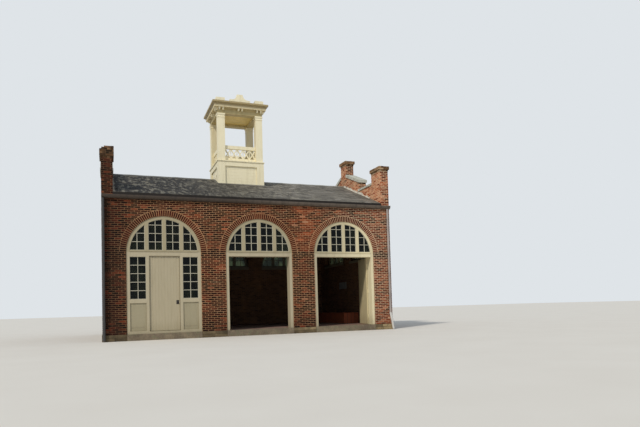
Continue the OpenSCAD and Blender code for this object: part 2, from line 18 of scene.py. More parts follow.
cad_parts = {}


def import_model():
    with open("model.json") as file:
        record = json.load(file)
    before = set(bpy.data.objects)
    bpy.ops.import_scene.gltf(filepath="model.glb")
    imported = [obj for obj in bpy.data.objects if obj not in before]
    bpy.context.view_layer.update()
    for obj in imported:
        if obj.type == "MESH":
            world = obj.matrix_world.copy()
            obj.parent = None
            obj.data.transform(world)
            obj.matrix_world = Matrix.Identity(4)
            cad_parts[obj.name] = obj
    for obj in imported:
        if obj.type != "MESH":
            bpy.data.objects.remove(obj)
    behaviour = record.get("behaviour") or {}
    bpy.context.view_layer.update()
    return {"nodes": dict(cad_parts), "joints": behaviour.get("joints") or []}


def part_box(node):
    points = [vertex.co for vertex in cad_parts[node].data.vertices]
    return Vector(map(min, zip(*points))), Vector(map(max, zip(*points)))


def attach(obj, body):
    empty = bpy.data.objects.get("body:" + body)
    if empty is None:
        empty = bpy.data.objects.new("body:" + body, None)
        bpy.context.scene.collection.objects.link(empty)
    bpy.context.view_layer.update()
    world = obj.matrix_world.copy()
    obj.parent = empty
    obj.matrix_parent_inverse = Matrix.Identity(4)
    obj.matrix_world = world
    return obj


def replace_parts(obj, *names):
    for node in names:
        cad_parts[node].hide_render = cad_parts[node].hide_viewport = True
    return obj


LOG = logging.getLogger("fire_station")
BUILDING = "building"
TONE = "tone"
PLAIN_TONE = (0.5, 0.0, 0.0)
TINY = 1e-6
X_AXIS, Y_AXIS, Z_AXIS = np.eye(3)

Array = np.ndarray
Batch = tuple[Array, list[Array]]
Chance = np.random.Generator
Material = bpy.types.Material
Numbers = Array | float
Pair = tuple[float, float]
Row = tuple[float, ...]
Triple = tuple[float, float, float]
Shades = tuple[str, ...]
Socket = bpy.types.NodeSocket


def colour(code: str) -> tuple[float, float, float, float]:
    """Turns a six-figure shade into linear light.

    Args:
        code: the shade as it looks on a screen, such as "#a0522d".

    Returns:
        Red, green, blue and alpha, each channel taken back through the screen's curve:
        a straight part near black, and a power of 2.4 above it.
    """
    shade = np.array([int(code[i:i + 2], 16) for i in (1, 3, 5)]) / 255
    light = np.where(shade <= 0.04045, shade / 12.92, ((shade + 0.055) / 1.055) ** 2.4)
    return (*light.tolist(), 1.0)


# Shapes

class Side(Enum):
    """The four outer walls, by the turn in degrees that carries the front onto each."""

    FRONT = 0
    RIGHT = 90
    REAR = 180
    LEFT = 270

    @property
    def is_long(self) -> bool:
        """Whether this is one of the two long walls, the front or the rear one."""
        return self in (Side.FRONT, Side.REAR)


@dataclass(frozen=True)
class Face:
    """A flat drawing plane: a point on it, its two axes and its outward direction."""

    at: Array
    along: Array
    up: Array
    out: Array

    @classmethod
    def upright(cls, turn: float, distance: float, at: Triple | Array = (0.0, 0.0, 0.0)) -> "Face":
        """Makes an upright plane that looks away from a point.

        Args:
            turn: degrees that carry the front's direction onto this one.
            distance: how far the plane stands from the point.
            at: the point.

        Returns:
            The plane, its axes to the right and up.
        """
        cosine, sine = math.cos(math.radians(turn)), math.sin(math.radians(turn))
        out = np.array([sine, -cosine, 0.0])
        along = np.array([cosine, sine, 0.0])
        return cls(np.array(at) + distance * out, along, Z_AXIS, out)

    @classmethod
    def sloped(cls, turn: float, ridge: float, slope: float) -> "Face":
        """Makes a plane that falls from a level ridge over the middle.

        Args:
            turn: degrees that carry the front's direction onto the way down.
            ridge: the ridge's height.
            slope: fall over run.

        Returns:
            The plane, its axes along the ridge and up the slope.
        """
        flat = cls.upright(turn, 0.0, (0.0, 0.0, ridge))
        length = math.hypot(1.0, slope)
        return cls(flat.at, flat.along, (slope * flat.up - flat.out) / length,
                   (flat.up + slope * flat.out) / length)

    def place(self, flat: Array, depth: Numbers) -> Array:
        """Carries points of the plane into space.

        Args:
            flat: the points' two coordinates on the plane, in the last axis.
            depth: how far each stands out of the plane.

        Returns:
            The plane's own point plus each coordinate times its axis.
        """
        depth = np.broadcast_to(depth, flat.shape[:-1])
        return (self.at + flat[..., :1] * self.along + flat[..., 1:2] * self.up
                + depth[..., None] * self.out)


def loft(rings: Array, closed: bool = False) -> Batch:
    """Skins shapes ring by ring.

    Args:
        rings: points, as shapes by rings by points by 3.
        closed: joins each shape's last ring to its first, else both ends are capped.

    Returns:
        Points and faces. Point j of ring i joins point j of ring i + 1, and the last
        point of a ring joins its first.
    """
    shapes, count, points, _ = rings.shape
    base = (np.arange(shapes) * count * points)[:, None]
    i, j = np.meshgrid(np.arange(count if closed else count - 1), np.arange(points), indexing="ij")
    across, onward = (j + 1) % points, (i + 1) % count
    quad = np.stack([i * points + j, i * points + across, onward * points + across,
                     onward * points + j], -1).reshape(1, -1, 4)
    faces = [(base[:, :, None] + quad).reshape(-1, 4)]
    if not closed:
        faces.append(base + np.arange(points)[::-1])
        faces.append(base + (count - 1) * points + np.arange(points))
    return rings.reshape(-1, 3), faces


def boxes(low: Array, high: Array) -> Batch:
    """Makes upright boxes.

    Args:
        low: their lowest corners, boxes by 3.
        high: their highest corners.

    Returns:
        Points and faces, each box a lower and an upper ring of four points.
    """
    low, high = np.atleast_2d(low).astype(float), np.atleast_2d(high).astype(float)
    pick = np.array([[0, 0], [1, 0], [1, 1], [0, 1]])
    plan = np.where(pick[None], high[:, None, :2], low[:, None, :2])
    rings = [np.dstack([plan, np.repeat(z[:, None, None], 4, 1)]) for z in (low[:, 2], high[:, 2])]
    return loft(np.stack(rings, 1))


def sweep(path: Array, side: Array, up: Array, profile: Array, closed: bool = False) -> Batch:
    """Carries a profile along a path.

    Args:
        path: the path's points, n by 3.
        side: the profile's first axis at each point.
        up: the profile's second axis at each point.
        profile: the profile's points, k by 2, or one profile for each path point.
        closed: joins the end of the path to its start.

    Returns:
        Points and faces: path + first coordinate * side + second coordinate * up.
    """
    profile = np.broadcast_to(profile, (len(path), *np.shape(profile)[-2:]))
    side, up = np.broadcast_to(side, path.shape), np.broadcast_to(up, path.shape)
    rings = (path[:, None] + profile[..., :1] * side[:, None] + profile[..., 1:] * up[:, None])
    return loft(rings[None], closed)


def rails(face: Face, ends: Array, profile: Array) -> Batch:
    """Lays straight mouldings on a plane.

    Args:
        face: the plane.
        ends: both ends of each, n by 2 by 2.
        profile: the moulding's section, k by 2: across the rail and out of the plane.

    Returns:
        Points and faces. Across is the rail's own direction turned by a right angle.
    """
    onward = ends[:, 1] - ends[:, 0]
    onward = onward / np.linalg.norm(onward, axis=1, keepdims=True)
    across = np.stack([onward[:, 1], -onward[:, 0]], 1)
    flat = ends[:, :, None] + profile[:, :1] * across[:, None, None]
    return loft(face.place(flat, profile[:, 1]))


def hoop(face: Face, outlines: list[Array], depths: list[float]) -> Batch:
    """Skins a closed moulding through outlines of equal length, each at its own depth."""
    return loft(np.stack([face.place(flat, depth) for flat, depth in zip(outlines, depths)])[None], True)


def rectangles(left: Numbers, right: Numbers, foot: Numbers, head: Numbers) -> Array:
    """Returns the corners of rectangles from their sides: n by 4 by 2, or 4 by 2 for a single one."""
    sides = np.broadcast_arrays(left, right, foot, head)
    return np.stack([np.stack([sides[i], sides[j]], -1) for i, j in ((0, 2), (1, 2), (1, 3), (0, 3))], -2)


def cut(outline: Array, count: Array, normal: Array, offset: Numbers) -> tuple[Array, Array]:
    """Trims outlines by a straight line, or each by a line of its own.

    Args:
        outline: corners, shapes by corners by 2, the first count of them in use.
        count: how many corners each shape has.
        normal: the line's direction, or one for each shape, pointing to what stays.
        offset: the line's distance from the plane's own point, or one for each shape.

    Returns:
        The new corners and their counts. A corner stays where normal times corner is
        over the offset, and an edge that crosses the line gets a corner there.
    """
    shapes, corners = outline.shape[:2]
    normal, offset = np.broadcast_to(normal, (shapes, 2)), np.broadcast_to(offset, shapes)
    index = np.arange(corners)
    after = (index + 1) % np.maximum(count, 1)[:, None]
    ahead = np.take_along_axis(outline, after[..., None], 1)
    here = (outline * normal[:, None]).sum(-1) - offset[:, None]
    there = np.take_along_axis(here, after, 1)
    live = index < count[:, None]
    crosses = live & (here * there < 0)
    share = np.where(crosses, here / np.where(crosses, here - there, 1.0), 0.0)
    crossing = outline + (ahead - outline) * share[..., None]
    points = np.stack([outline, crossing], 2).reshape(shapes, 2 * corners, 2)
    keep = np.stack([live & (here >= 0), crosses], 2).reshape(shapes, 2 * corners)
    order = np.argsort(~keep, 1, kind="stable")
    count = keep.sum(1)
    return np.take_along_axis(points, order[..., None], 1)[:, :max(3, count.max())], count


def trim(outline: Array, count: Array, lines: tuple[Triple, ...]) -> tuple[Array, Array]:
    """Trims all outlines by the same lines.

    Args:
        outline: corners, shapes by corners by 2.
        count: how many corners each shape has.
        lines: each as along, up and offset. What stays has the first coordinate times
            along plus the second one times up over the offset.

    Returns:
        The new corners and their counts.
    """
    for along, up, offset in lines:
        outline, count = cut(outline, count, np.array([along, up]), offset)
    return outline, count


@dataclass
class Piece:
    """Faces gathered for one object. A tone is three numbers that its finish may read."""

    name: str
    slot: str
    body: str = BUILDING
    points: list[Array] = field(default_factory=list)
    faces: list[Array] = field(default_factory=list)
    tones: list[Array] = field(default_factory=list)
    total: int = 0

    def add(self, batch: Batch, tone: Array | Triple = PLAIN_TONE) -> "Piece":
        """Adds a batch of loose parts.

        Args:
            batch: points and faces.
            tone: one tone for all, or one for each of the equal parts of the batch.

        Returns:
            The piece itself.
        """
        points, faces = batch
        tone = np.atleast_2d(tone)
        self.points.append(points)
        self.faces += [rows + self.total for rows in faces]
        self.tones.append(np.repeat(tone, len(points) // len(tone), axis=0))
        self.total += len(points)
        return self

    def add_prisms(self, face: Face, outline: Array, back: float, front: Numbers, worn: float,
                   tone: Array | Triple = PLAIN_TONE, count: Array | int = 4) -> None:
        """Adds straight-sided blocks with worn front edges, standing on a plane.

        On each axis a front corner lies at the outline's middle plus its distance from it
        times one less worn over half the outline's width.

        Args:
            face: the plane.
            outline: corners, shapes by corners by 2.
            back: depth of the back faces.
            front: depth of each front face's corners, shapes by corners or by 1.
            worn: how far the front edges are worn back and in.
            tone: each shape's tone, or one for all.
            count: how many corners each shape has, or one number for all.
        """
        count, tone = np.broadcast_to(count, len(outline)), np.broadcast_to(tone, (len(outline), 3))
        front = np.broadcast_to(front, outline.shape[:2])
        for corners in np.unique(count[count >= 3]):
            pick = count == corners
            flat, depth = outline[pick][:, :corners], front[pick][:, :corners]
            middle = (flat.max(1, keepdims=True) + flat.min(1, keepdims=True)) / 2
            half = np.maximum((flat.max(1, keepdims=True) - flat.min(1, keepdims=True)) / 2, worn * 2)
            inset = middle + (flat - middle) * (1 - worn / half)
            rings = [face.place(flat, back), face.place(flat, depth - worn), face.place(inset, depth)]
            self.add(loft(np.stack(rings, 1)), tone[pick])

    def build(self, finish: Material, smooth: float = 0.0) -> bpy.types.Object:
        """Puts the gathered faces into a mesh that rides on its body.

        Args:
            finish: the material.
            smooth: edges up to this angle in degrees are shaded smooth, and none at 0.

        Returns:
            The new object, at the origin.
        """
        mesh = bpy.data.meshes.new(self.name)
        sizes = np.concatenate([np.full(len(rows), rows.shape[1]) for rows in self.faces])
        corners = np.concatenate([rows.ravel() for rows in self.faces])
        mesh.vertices.add(self.total)
        mesh.vertices.foreach_set("co", np.concatenate(self.points).astype(np.float32).ravel())
        mesh.loops.add(len(corners))
        mesh.loops.foreach_set("vertex_index", corners.astype(np.int32))
        mesh.polygons.add(len(sizes))
        mesh.polygons.foreach_set("loop_start", (np.cumsum(sizes) - sizes).astype(np.int32))
        mesh.update(calc_edges=True)
        tones = np.c_[np.concatenate(self.tones), np.ones(self.total)].astype(np.float32)
        mesh.attributes.new(TONE, "FLOAT_COLOR", "POINT").data.foreach_set("color", tones.ravel())
        shell = bmesh.new()
        shell.from_mesh(mesh)
        bmesh.ops.recalc_face_normals(shell, faces=shell.faces)
        shell.to_mesh(mesh)
        shell.free()
        mesh.polygons.foreach_set("use_smooth", np.full(len(mesh.polygons), smooth > 0))
        if smooth:
            mesh.set_sharp_from_angle(angle=math.radians(smooth))
        mesh.materials.append(finish)
        shown = bpy.data.objects.new(self.name, mesh)
        bpy.context.scene.collection.objects.link(shown)
        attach(shown, self.body)
        LOG.info("%s: %d points, %d faces", self.name, self.total, len(sizes))
        return shown


# Finishes

@dataclass(frozen=True)
class Cloud:
    """Cloudy noise: its lumps' size in metres, its detail, and factors that the point is taken
    times first. As patches it rises from 0 at its low limit to its share at the high one."""

    size: float
    detail: float = 4.0
    low: float = 0.0
    high: float = 1.0
    share: float = 1.0
    factors: Triple = (1.0, 1.0, 1.0)


class Graph:
    """The node tree of one finish, around a Principled shader."""

    def __init__(self, name: str, rough: float, sheen: float = 0.5) -> None:
        """Starts a material.

        Args:
            name: the material's name.
            rough: its roughness.
            sheen: its specular level, 0.5 for a plain smooth surface.
        """
        self.material = bpy.data.materials.new(name)
        self.material.use_nodes = True
        self.tree = self.material.node_tree
        self.tree.nodes.clear()
        self.shader = self.node("BsdfPrincipled", {"Roughness": rough, "Specular IOR Level": sheen})
        self.node("OutputMaterial", {"Surface": self.shader.outputs["BSDF"]})
        where = self.node("TexCoord")
        self.place, self.facing = where.outputs["Object"], where.outputs["Normal"]

    def node(self, kind: str, inputs: dict[int | str, object] | None = None,
             **settings: object) -> bpy.types.Node:
        """Adds a node.

        Args:
            kind: its type, without the word ShaderNode.
            inputs: what its sockets get, by name or number: another node's output, a
                plain value or a shade.
            settings: what is set on the node itself.

        Returns:
            The node.
        """
        made = self.tree.nodes.new("ShaderNode" + kind)
        for key, value in settings.items():
            setattr(made, key, value)
        for key, value in (inputs or {}).items():
            if isinstance(value, Socket):
                self.tree.links.new(value, made.inputs[key])
            else:
                made.inputs[key].default_value = colour(value) if isinstance(value, str) else value
        return made

    def math(self, step: str, first: object, second: object = 0.0) -> Socket:
        """Returns one step of arithmetic, such as ADD, on two numbers."""
        return self.node("Math", {0: first, 1: second}, operation=step).outputs[0]

    def axes(self, vector: Socket | None = None) -> list[Socket]:
        """Returns the three coordinates of a vector, or of the point itself."""
        return list(self.node("SeparateXYZ", {0: vector or self.place}).outputs)

    def tone(self) -> list[Socket]:
        """Returns the three numbers of the piece's tone."""
        stored = self.node("Attribute", attribute_name=TONE).outputs["Color"]
        return list(self.node("SeparateColor", {0: stored}).outputs)

    def mix(self, factor: object, first: object, second: object) -> Socket:
        """Returns a blend of two colours or shades, the second one's share being factor."""
        return self.node("Mix", {0: factor, 6: first, 7: second}, data_type="RGBA").outputs[2]

    def noise(self, cloud: Cloud) -> Socket:
        """Makes cloudy noise.

        Args:
            cloud: its sizes.

        Returns:
            A number from 0 to 1 at each point.
        """
        place = self.node("Mapping", {"Vector": self.place, "Scale": cloud.factors}).outputs[0]
        sizes = {"Vector": place, "Scale": 1 / cloud.size, "Detail": cloud.detail}
        return self.node("TexNoise", sizes).outputs["Fac"]

    def patches(self, cloud: Cloud, noise: Socket | None = None) -> Socket:
        """Returns a cloud's patches, from its own noise or from noise made before."""
        return self.rise(noise or self.noise(cloud), cloud.low, cloud.high, cloud.share)

    def rise(self, value: object, low: float, high: float, top: float = 1.0) -> Socket:
        """Returns a smooth step up: 0 below low, and top above high."""
        limits = {"Value": value, "From Min": low, "From Max": high, "To Max": top}
        return self.node("MapRange", limits, interpolation_type="SMOOTHSTEP").outputs[0]

    def fall(self, value: object, low: float, high: float, top: float = 1.0) -> Socket:
        """Returns a smooth step down: top below low, and 0 above high."""
        return self.rise(self.math("SUBTRACT", high, value), 0.0, high - low, top)

    def ramp(self, factor: object, *shades: str) -> Socket:
        """Blends shades in a row.

        Args:
            factor: where in the row, from 0 to 1.
            shades: the shades, evenly spaced.

        Returns:
            The colour.
        """
        made = self.node("ValToRGB", {0: factor})
        while len(made.color_ramp.elements) < len(shades):
            made.color_ramp.elements.new(1.0)
        for index, shade in enumerate(shades):
            made.color_ramp.elements[index].position = index / (len(shades) - 1)
            made.color_ramp.elements[index].color = colour(shade)
        return made.outputs[0]

    def lines(self, value: Socket, pitch: float, width: float) -> Socket:
        """Makes thin lines that repeat along a coordinate.

        Args:
            value: the coordinate.
            pitch: from line to line.
            width: a line's width.

        Returns:
            1 in the lines and 0 between them, a step in the distance from mid-pitch.
        """
        share = self.math("FRACT", self.math("DIVIDE", value, pitch))
        near = self.math("ABSOLUTE", self.math("SUBTRACT", share, 0.5))
        return self.rise(near, 0.5 - 1.5 * width / pitch, 0.5 - 0.5 * width / pitch)

    def courses(self, along: Socket, up: Socket, size: Pair, joint: float, shades: Shades) -> bpy.types.Node:
        """Makes a running bond.

        Args:
            along: the coordinate along the courses.
            up: the one across them.
            size: a brick's length and a course's height, both with their joints.
            joint: the joints' width.
            shades: two for the bricks and one for the joints.

        Returns:
            The pattern's node. Its factor is 1 in the joints.
        """
        where = self.node("CombineXYZ", {0: along, 1: up}).outputs[0]
        return self.node("TexBrick", {
            "Vector": where, "Scale": 1.0, "Brick Width": size[0], "Row Height": size[1],
            "Mortar Size": joint / 2, "Color1": shades[0], "Color2": shades[1], "Mortar": shades[2]})

    def done(self, shade: Socket, height: Socket | None = None, depth: float = 0.0) -> Material:
        """Finishes the material.

        Args:
            shade: its colour.
            height: the relief, from 0 to 1, or nothing for none.
            depth: the relief's depth in metres.

        Returns:
            The material.
        """
        self.tree.links.new(shade, self.shader.inputs["Base Color"])
        if height is not None:
            relief = self.node("Bump", {"Height": height, "Distance": depth})
            self.tree.links.new(relief.outputs[0], self.shader.inputs["Normal"])
        return self.material


@dataclass(frozen=True)
class FiredBrick:
    """Old hand-made bricks: a fired shade each, dark specks, smears of lime and soot."""

    name: str = "fired_brick"
    shades: Shades = ("#080303", "#1b0807", "#34100c", "#541c12", "#843a22")
    warm: Shades = ("#4f1c12", "#79301c", "#a04728", "#bd6842", "#d8a07c")
    lime: str = "#b8966f"
    soot: str = "#1d100b"
    specks: Cloud = Cloud(0.012, 6.0, 0.45, 0.8, 0.6)
    smears: Cloud = Cloud(0.06, 3.0, 0.52, 0.75)
    smear_share: float = 0.14
    warm_smears: Triple = (0.6, 1.0, 0.45)
    stains: Cloud = Cloud(0.5, 4.0, 0.25, 0.6, 0.85)
    relief: float = 0.003

    def make(self) -> Material:
        """Makes the finish.

        Returns:
            The material. Tone gives each brick's shade, soot and warmth.
        """
        graph = Graph(self.name, rough=0.9, sheen=0.15)
        shade, soot, warm = graph.tone()
        body = graph.mix(warm, graph.ramp(shade, *self.shades), graph.ramp(shade, *self.warm))
        grain = graph.noise(self.specks)
        body = graph.mix(graph.patches(self.specks, grain), body, self.shades[0])
        share = graph.math("ADD", self.smear_share, graph.rise(warm, *self.warm_smears))
        body = graph.mix(graph.math("MULTIPLY", graph.patches(self.smears), share), body, self.lime)
        # the soot number also carries the painted shadow under the gutter
        body = graph.mix(graph.math("MULTIPLY", soot, graph.patches(self.stains)), body, self.soot)
        return graph.done(body, grain, self.relief)


@dataclass(frozen=True)
class LimeMortar:
    """Old lime mortar on the outer faces, and plain brick courses on the inner ones. The mortar
    gets painted sunlight towards the right and darkens towards the left.
    """

    bond: "Bond"
    plan: "Plan"
    name: str = "masonry"
    lime: Shades = ("#8c6746", "#b98c64", "#dab38a")
    clouds: Cloud = Cloud(0.25, 6.0)
    # painted sunlight on the mortar towards the right
    painted_sunlight: str = "#efd2ae"
    painted_sunlight_x: Triple = (1.5, 4.9, 0.75)
    bricks: Shades = ("#4d3b31", "#745a4a")
    smears: Cloud = Cloud(0.35, 5.0, 0.4, 0.75, 0.5)
    soot: str = "#33271d"
    darkening_x: Triple = (-5.4, -3.6, 0.75)
    splash_z: Triple = (0.2, 1.1, 0.45)
    skin: float = 0.006
    under_slates: float = 0.01
    relief: float = 0.006

    def make(self) -> Material:
        """Makes the finish.

        Returns:
            The material. A point is outside where its distance from the middle reaches
            a wall face, or above the slates. The inner courses run along y on a face
            that looks along x, and along x on the others.
        """
        graph = Graph(self.name, rough=0.95, sheen=0.15)
        x, y, z = graph.axes()
        lime = graph.ramp(graph.noise(self.clouds), *self.lime)
        # painted sunlight towards the right
        lime = graph.mix(graph.rise(x, *self.painted_sunlight_x), lime, self.painted_sunlight)
        lime = graph.mix(graph.fall(z, *self.splash_z), lime, self.soot)
        # darker towards the left
        lime = graph.mix(graph.fall(x, *self.darkening_x), lime, self.soot)
        turned = graph.rise(graph.math("ABSOLUTE", graph.axes(graph.facing)[0]), 0.4, 0.6)
        run = graph.math("ADD", graph.math("MULTIPLY", y, turned),
                         graph.math("MULTIPLY", x, graph.math("SUBTRACT", 1.0, turned)))
        courses = graph.courses(run, graph.math("SUBTRACT", z, self.plan.floor_z),
                                (self.bond.length, self.bond.course), self.bond.joint,
                                (*self.bricks, self.lime[0]))
        inside = graph.mix(graph.patches(self.smears), courses.outputs["Color"], self.lime[0])
        wide, deep = graph.math("ABSOLUTE", x), graph.math("ABSOLUTE", y)
        above = graph.math("ADD", z, graph.math("MULTIPLY", deep, self.plan.slope))
        outer = graph.rise(above, self.plan.ridge_z - self.under_slates, self.plan.ridge_z)
        for distance, reach in ((wide, self.plan.wide), (deep, self.plan.deep)):
            skin = graph.rise(distance, reach - self.skin, reach - self.skin / 2)
            outer = graph.math("MAXIMUM", outer, skin)
        relief = graph.math("MULTIPLY", courses.outputs["Fac"], -1.0)
        return graph.done(graph.mix(outer, inside, lime), relief, self.relief)


@dataclass(frozen=True)
class OilPaint:
    """Old oil paint on boards: brush grain, streaks of dirt, flakes and a dirty foot. It can have
    painted sunlight from some x on, be bare from some height on, and carry painted shade where
    faces look inwards."""

    name: str
    shade: str
    dirt: str
    dirt_share: float = 0.35
    wood: str = "#8f7f66"
    wear: float = 0.25
    up_grain: bool = True
    # painted shade for faces that look into the dim room
    painted_shade: str = "#4a4136"
    painted_shade_share: float = 0.0
    painted_shade_x: Pair = (4.8, 5.0)
    painted_shade_y: Pair = (1.5, 3.0)
    # painted sunlight from some x on
    painted_sunlight: str = ""
    painted_sunlight_x: Pair = (2.0, 4.6)
    bare_z: Pair | None = None
    foot_z: Triple = (0.25, 0.75, 0.35)
    drawn_out: float = 0.06
    relief: float = 0.0012

    def make(self) -> Material:
        """Makes the finish.

        Returns:
            The material, its grain drawn out along z or across it.
        """
        graph = Graph(self.name, rough=0.55)
        along = (1, 1, self.drawn_out) if self.up_grain else (self.drawn_out, self.drawn_out, 1)
        brush = Cloud(0.02, 5.0, 0.55, 0.85, 0.2, along)
        streaks = Cloud(0.3, 5.0, 0.42, 0.85, self.dirt_share, (2.5, 2.5, 0.35))
        flakes = Cloud(0.05, 8.0, 0.66, 0.70, self.wear)
        x, y, z = graph.axes()
        grain, streaked = graph.noise(brush), graph.noise(streaks)
        body = self.shade
        # painted sunlight towards the right
        if self.painted_sunlight:
            body = graph.mix(graph.rise(x, *self.painted_sunlight_x), body, self.painted_sunlight)
        body = graph.mix(graph.patches(streaks, streaked), body, self.dirt)
        body = graph.mix(graph.patches(brush, grain), body, self.dirt)
        body = graph.mix(graph.fall(z, *self.foot_z), body, self.dirt)
        body = graph.mix(graph.patches(flakes), body, self.wood)
        if self.bare_z:
            bare = graph.math("MULTIPLY", graph.rise(z, *self.bare_z), graph.rise(streaked, -0.4, 0.4))
            body = graph.mix(bare, body, self.wood)
        # painted shade where faces look inwards
        if self.painted_shade_share:
            body = graph.mix(self.painted_inward_shade(graph, x, y), body, self.painted_shade)
        return graph.done(body, grain, self.relief)

    def painted_inward_shade(self, graph: Graph, x: Socket, y: Socket) -> Socket:
        """Finds the faces that get the painted shade: those that look inwards.

        Args:
            graph: the finish's nodes.
            x: the point's first coordinate.
            y: its second coordinate.

        Returns:
            The painted shade's share, by minus x times the normal's x or minus y times its y,
            whichever gives more.
        """
        steps = []
        for place, facing, limits in zip((x, y), graph.axes(graph.facing), (self.painted_shade_x, self.painted_shade_y)):
            inward = graph.math("MULTIPLY", graph.math("MULTIPLY", place, facing), -1.0)
            steps.append(graph.rise(inward, *limits))
        return graph.math("MULTIPLY", graph.math("MAXIMUM", *steps), self.painted_shade_share)


@dataclass(frozen=True)
class RoofSlate:
    """Weathered slates: a grey each, light runs down the slope and spots of lichen."""

    name: str = "roof_slate"
    shades: Shades = ("#272523", "#3a3733", "#524e47", "#767167", "#98928a")
    lichen: str = "#9a9484"
    grain: Cloud = Cloud(0.03, 6.0, 0.45, 0.8, 0.26, (1.0, 3.0, 3.0))
    runs: Cloud = Cloud(0.25, 4.0, 0.55, 0.8, 0.3, (1.0, 0.16, 0.16))
    spots: Cloud = Cloud(0.14, 7.0, 0.5, 0.6, 1.0, (1.0, 0.35, 0.35))
    relief: float = 0.003

    def make(self) -> Material:
        """Makes the finish.

        Returns:
            The material. Tone gives each slate's shade and its share of lichen.
        """
        graph = Graph(self.name, rough=0.7, sheen=0.25)
        shade, lichen = graph.tone()[:2]
        body = graph.ramp(shade, *self.shades)
        grain = graph.noise(self.grain)
        body = graph.mix(graph.patches(self.grain, grain), body, self.shades[-1])
        body = graph.mix(graph.patches(self.runs), body, self.lichen)
        body = graph.mix(graph.math("MULTIPLY", graph.patches(self.spots), lichen), body, self.lichen)
        return graph.done(body, grain, self.relief)


@dataclass(frozen=True)
class Stone:
    """Worn stone: cloudy shades, pits, spots of growth, and joints along y if it has any."""

    name: str
    shades: Shades
    growth: str = "#6f7257"
    growth_share: float = 0.4
    joint: float = 0.0
    seam: float = 0.012
    seam_shade: str = "#4b463d"
    pits: Cloud = Cloud(0.02, 6.0)
    clouds: Cloud = Cloud(0.3, 5.0)
    relief: float = 0.004

    def make(self) -> Material:
        """Makes the finish.

        Returns:
            The material. The row of shades is read at clouds + pits - 0.8 + 0.7 times
            the first number of tone.
        """
        graph = Graph(self.name, rough=0.9, sheen=0.25)
        pits = graph.noise(self.pits)
        cloud = graph.math("ADD", graph.noise(self.clouds), graph.math("SUBTRACT", pits, 0.5))
        shade = graph.math("ADD", cloud, graph.math("MULTIPLY", graph.tone()[0], 0.7))
        body = graph.ramp(graph.math("SUBTRACT", shade, 0.3), *self.shades)
        growth = graph.patches(Cloud(0.16, 7.0, 0.52, 0.64, self.growth_share))
        body = graph.mix(growth, body, self.growth)
        if self.joint:
            seam = graph.lines(graph.axes()[1], self.joint, self.seam)
            body = graph.mix(seam, body, self.seam_shade)
        return graph.done(body, pits, self.relief)


@dataclass(frozen=True)
class Metal:
    """Painted or leaded metal: two shades from end to end, a foot of its own, dull runs."""

    name: str
    left: str
    right: str
    turn_x: Pair = (-1.0, 1.0)
    foot: str = ""
    foot_z: Pair = (0.67, 0.675)
    stain: str = "#3c332c"
    runs: Cloud = Cloud(0.12, 5.0, 0.4, 0.8, 0.6, (1.0, 1.0, 0.2))
    grain: Cloud = Cloud(0.01, 4.0)
    relief: float = 0.0006

    def make(self) -> Material:
        """Makes the finish.

        Returns:
            The material. It turns from the left shade to the right one between two x.
        """
        graph = Graph(self.name, rough=0.5)
        x, _, z = graph.axes()
        right = self.right
        if self.foot:
            right = graph.mix(graph.rise(z, *self.foot_z), self.foot, right)
        body = graph.mix(graph.rise(x, *self.turn_x), self.left, right)
        body = graph.mix(graph.patches(self.runs), body, self.stain)
        return graph.done(body, graph.noise(self.grain), self.relief)


@dataclass(frozen=True)
class RawWood:
    """Bare boards: grain along one axis, dark seams between the boards."""

    name: str
    shades: Shades
    board: float
    across: int
    drawn_out: float = 0.08
    seam: float = 0.006
    seam_shade: str = "#1a1410"
    relief: float = 0.003

    def make(self) -> Material:
        """Makes the finish.

        Returns:
            The material, its boards of one width laid side by side across an axis.
        """
        graph = Graph(self.name, rough=0.8)
        factors = [self.drawn_out] * 3
        factors[self.across] = 1.0
        grain = graph.noise(Cloud(0.03, 6.0, factors=tuple(factors)))
        seam = graph.lines(graph.axes()[self.across], self.board, self.seam)
        body = graph.mix(seam, graph.ramp(grain, *self.shades), self.seam_shade)
        return graph.done(body, graph.math("SUBTRACT", grain, seam), self.relief)


@dataclass(frozen=True)
class OldGlass:
    """Drawn window glass: clear, slightly wavy, with painted greenish reflections in places."""

    name: str = "old_glass"
    tint: str = "#363a31"
    painted_reflection: str = "#5f6649"
    clear: float = 0.94
    bend: float = 1.28
    painted_reflections: Cloud = Cloud(0.5, 1.0, 0.42, 0.66)
    waves: Cloud = Cloud(0.16, 2.0)
    relief: float = 0.004

    def make(self) -> Material:
        """Makes the finish.

        Returns:
            The material, clear through the shader's own transmission.
        """
        graph = Graph(self.name, rough=0.04)
        graph.shader.inputs["IOR"].default_value = self.bend
        graph.shader.inputs["Transmission Weight"].default_value = self.clear
        # painted greenish reflections in patches
        body = graph.mix(graph.patches(self.painted_reflections), self.tint, self.painted_reflection)
        return graph.done(body, graph.noise(self.waves), self.relief)


@dataclass(frozen=True)
class Paving:
    """Floor of worn pinkish brick paving under patches of dust."""

    name: str = "paving"
    size: Pair = (0.22, 0.11)
    joint: float = 0.008
    shades: Shades = ("#7b5a4e", "#8f6f61", "#5e5148")
    dust: str = "#a18a7b"
    dusty: Cloud = Cloud(0.5, 6.0, 0.35, 0.75, 0.6)
    relief: float = -0.003

    def make(self) -> Material:
        """Makes the finish.

        Returns:
            The material, the pavers' courses along x.
        """
        graph = Graph(self.name, rough=0.85)
        x, y = graph.axes()[:2]
        courses = graph.courses(x, y, self.size, self.joint, self.shades)
        body = graph.mix(graph.patches(self.dusty), courses.outputs["Color"], self.dust)
        return graph.done(body, courses.outputs["Fac"], self.relief)


# The building's sizes

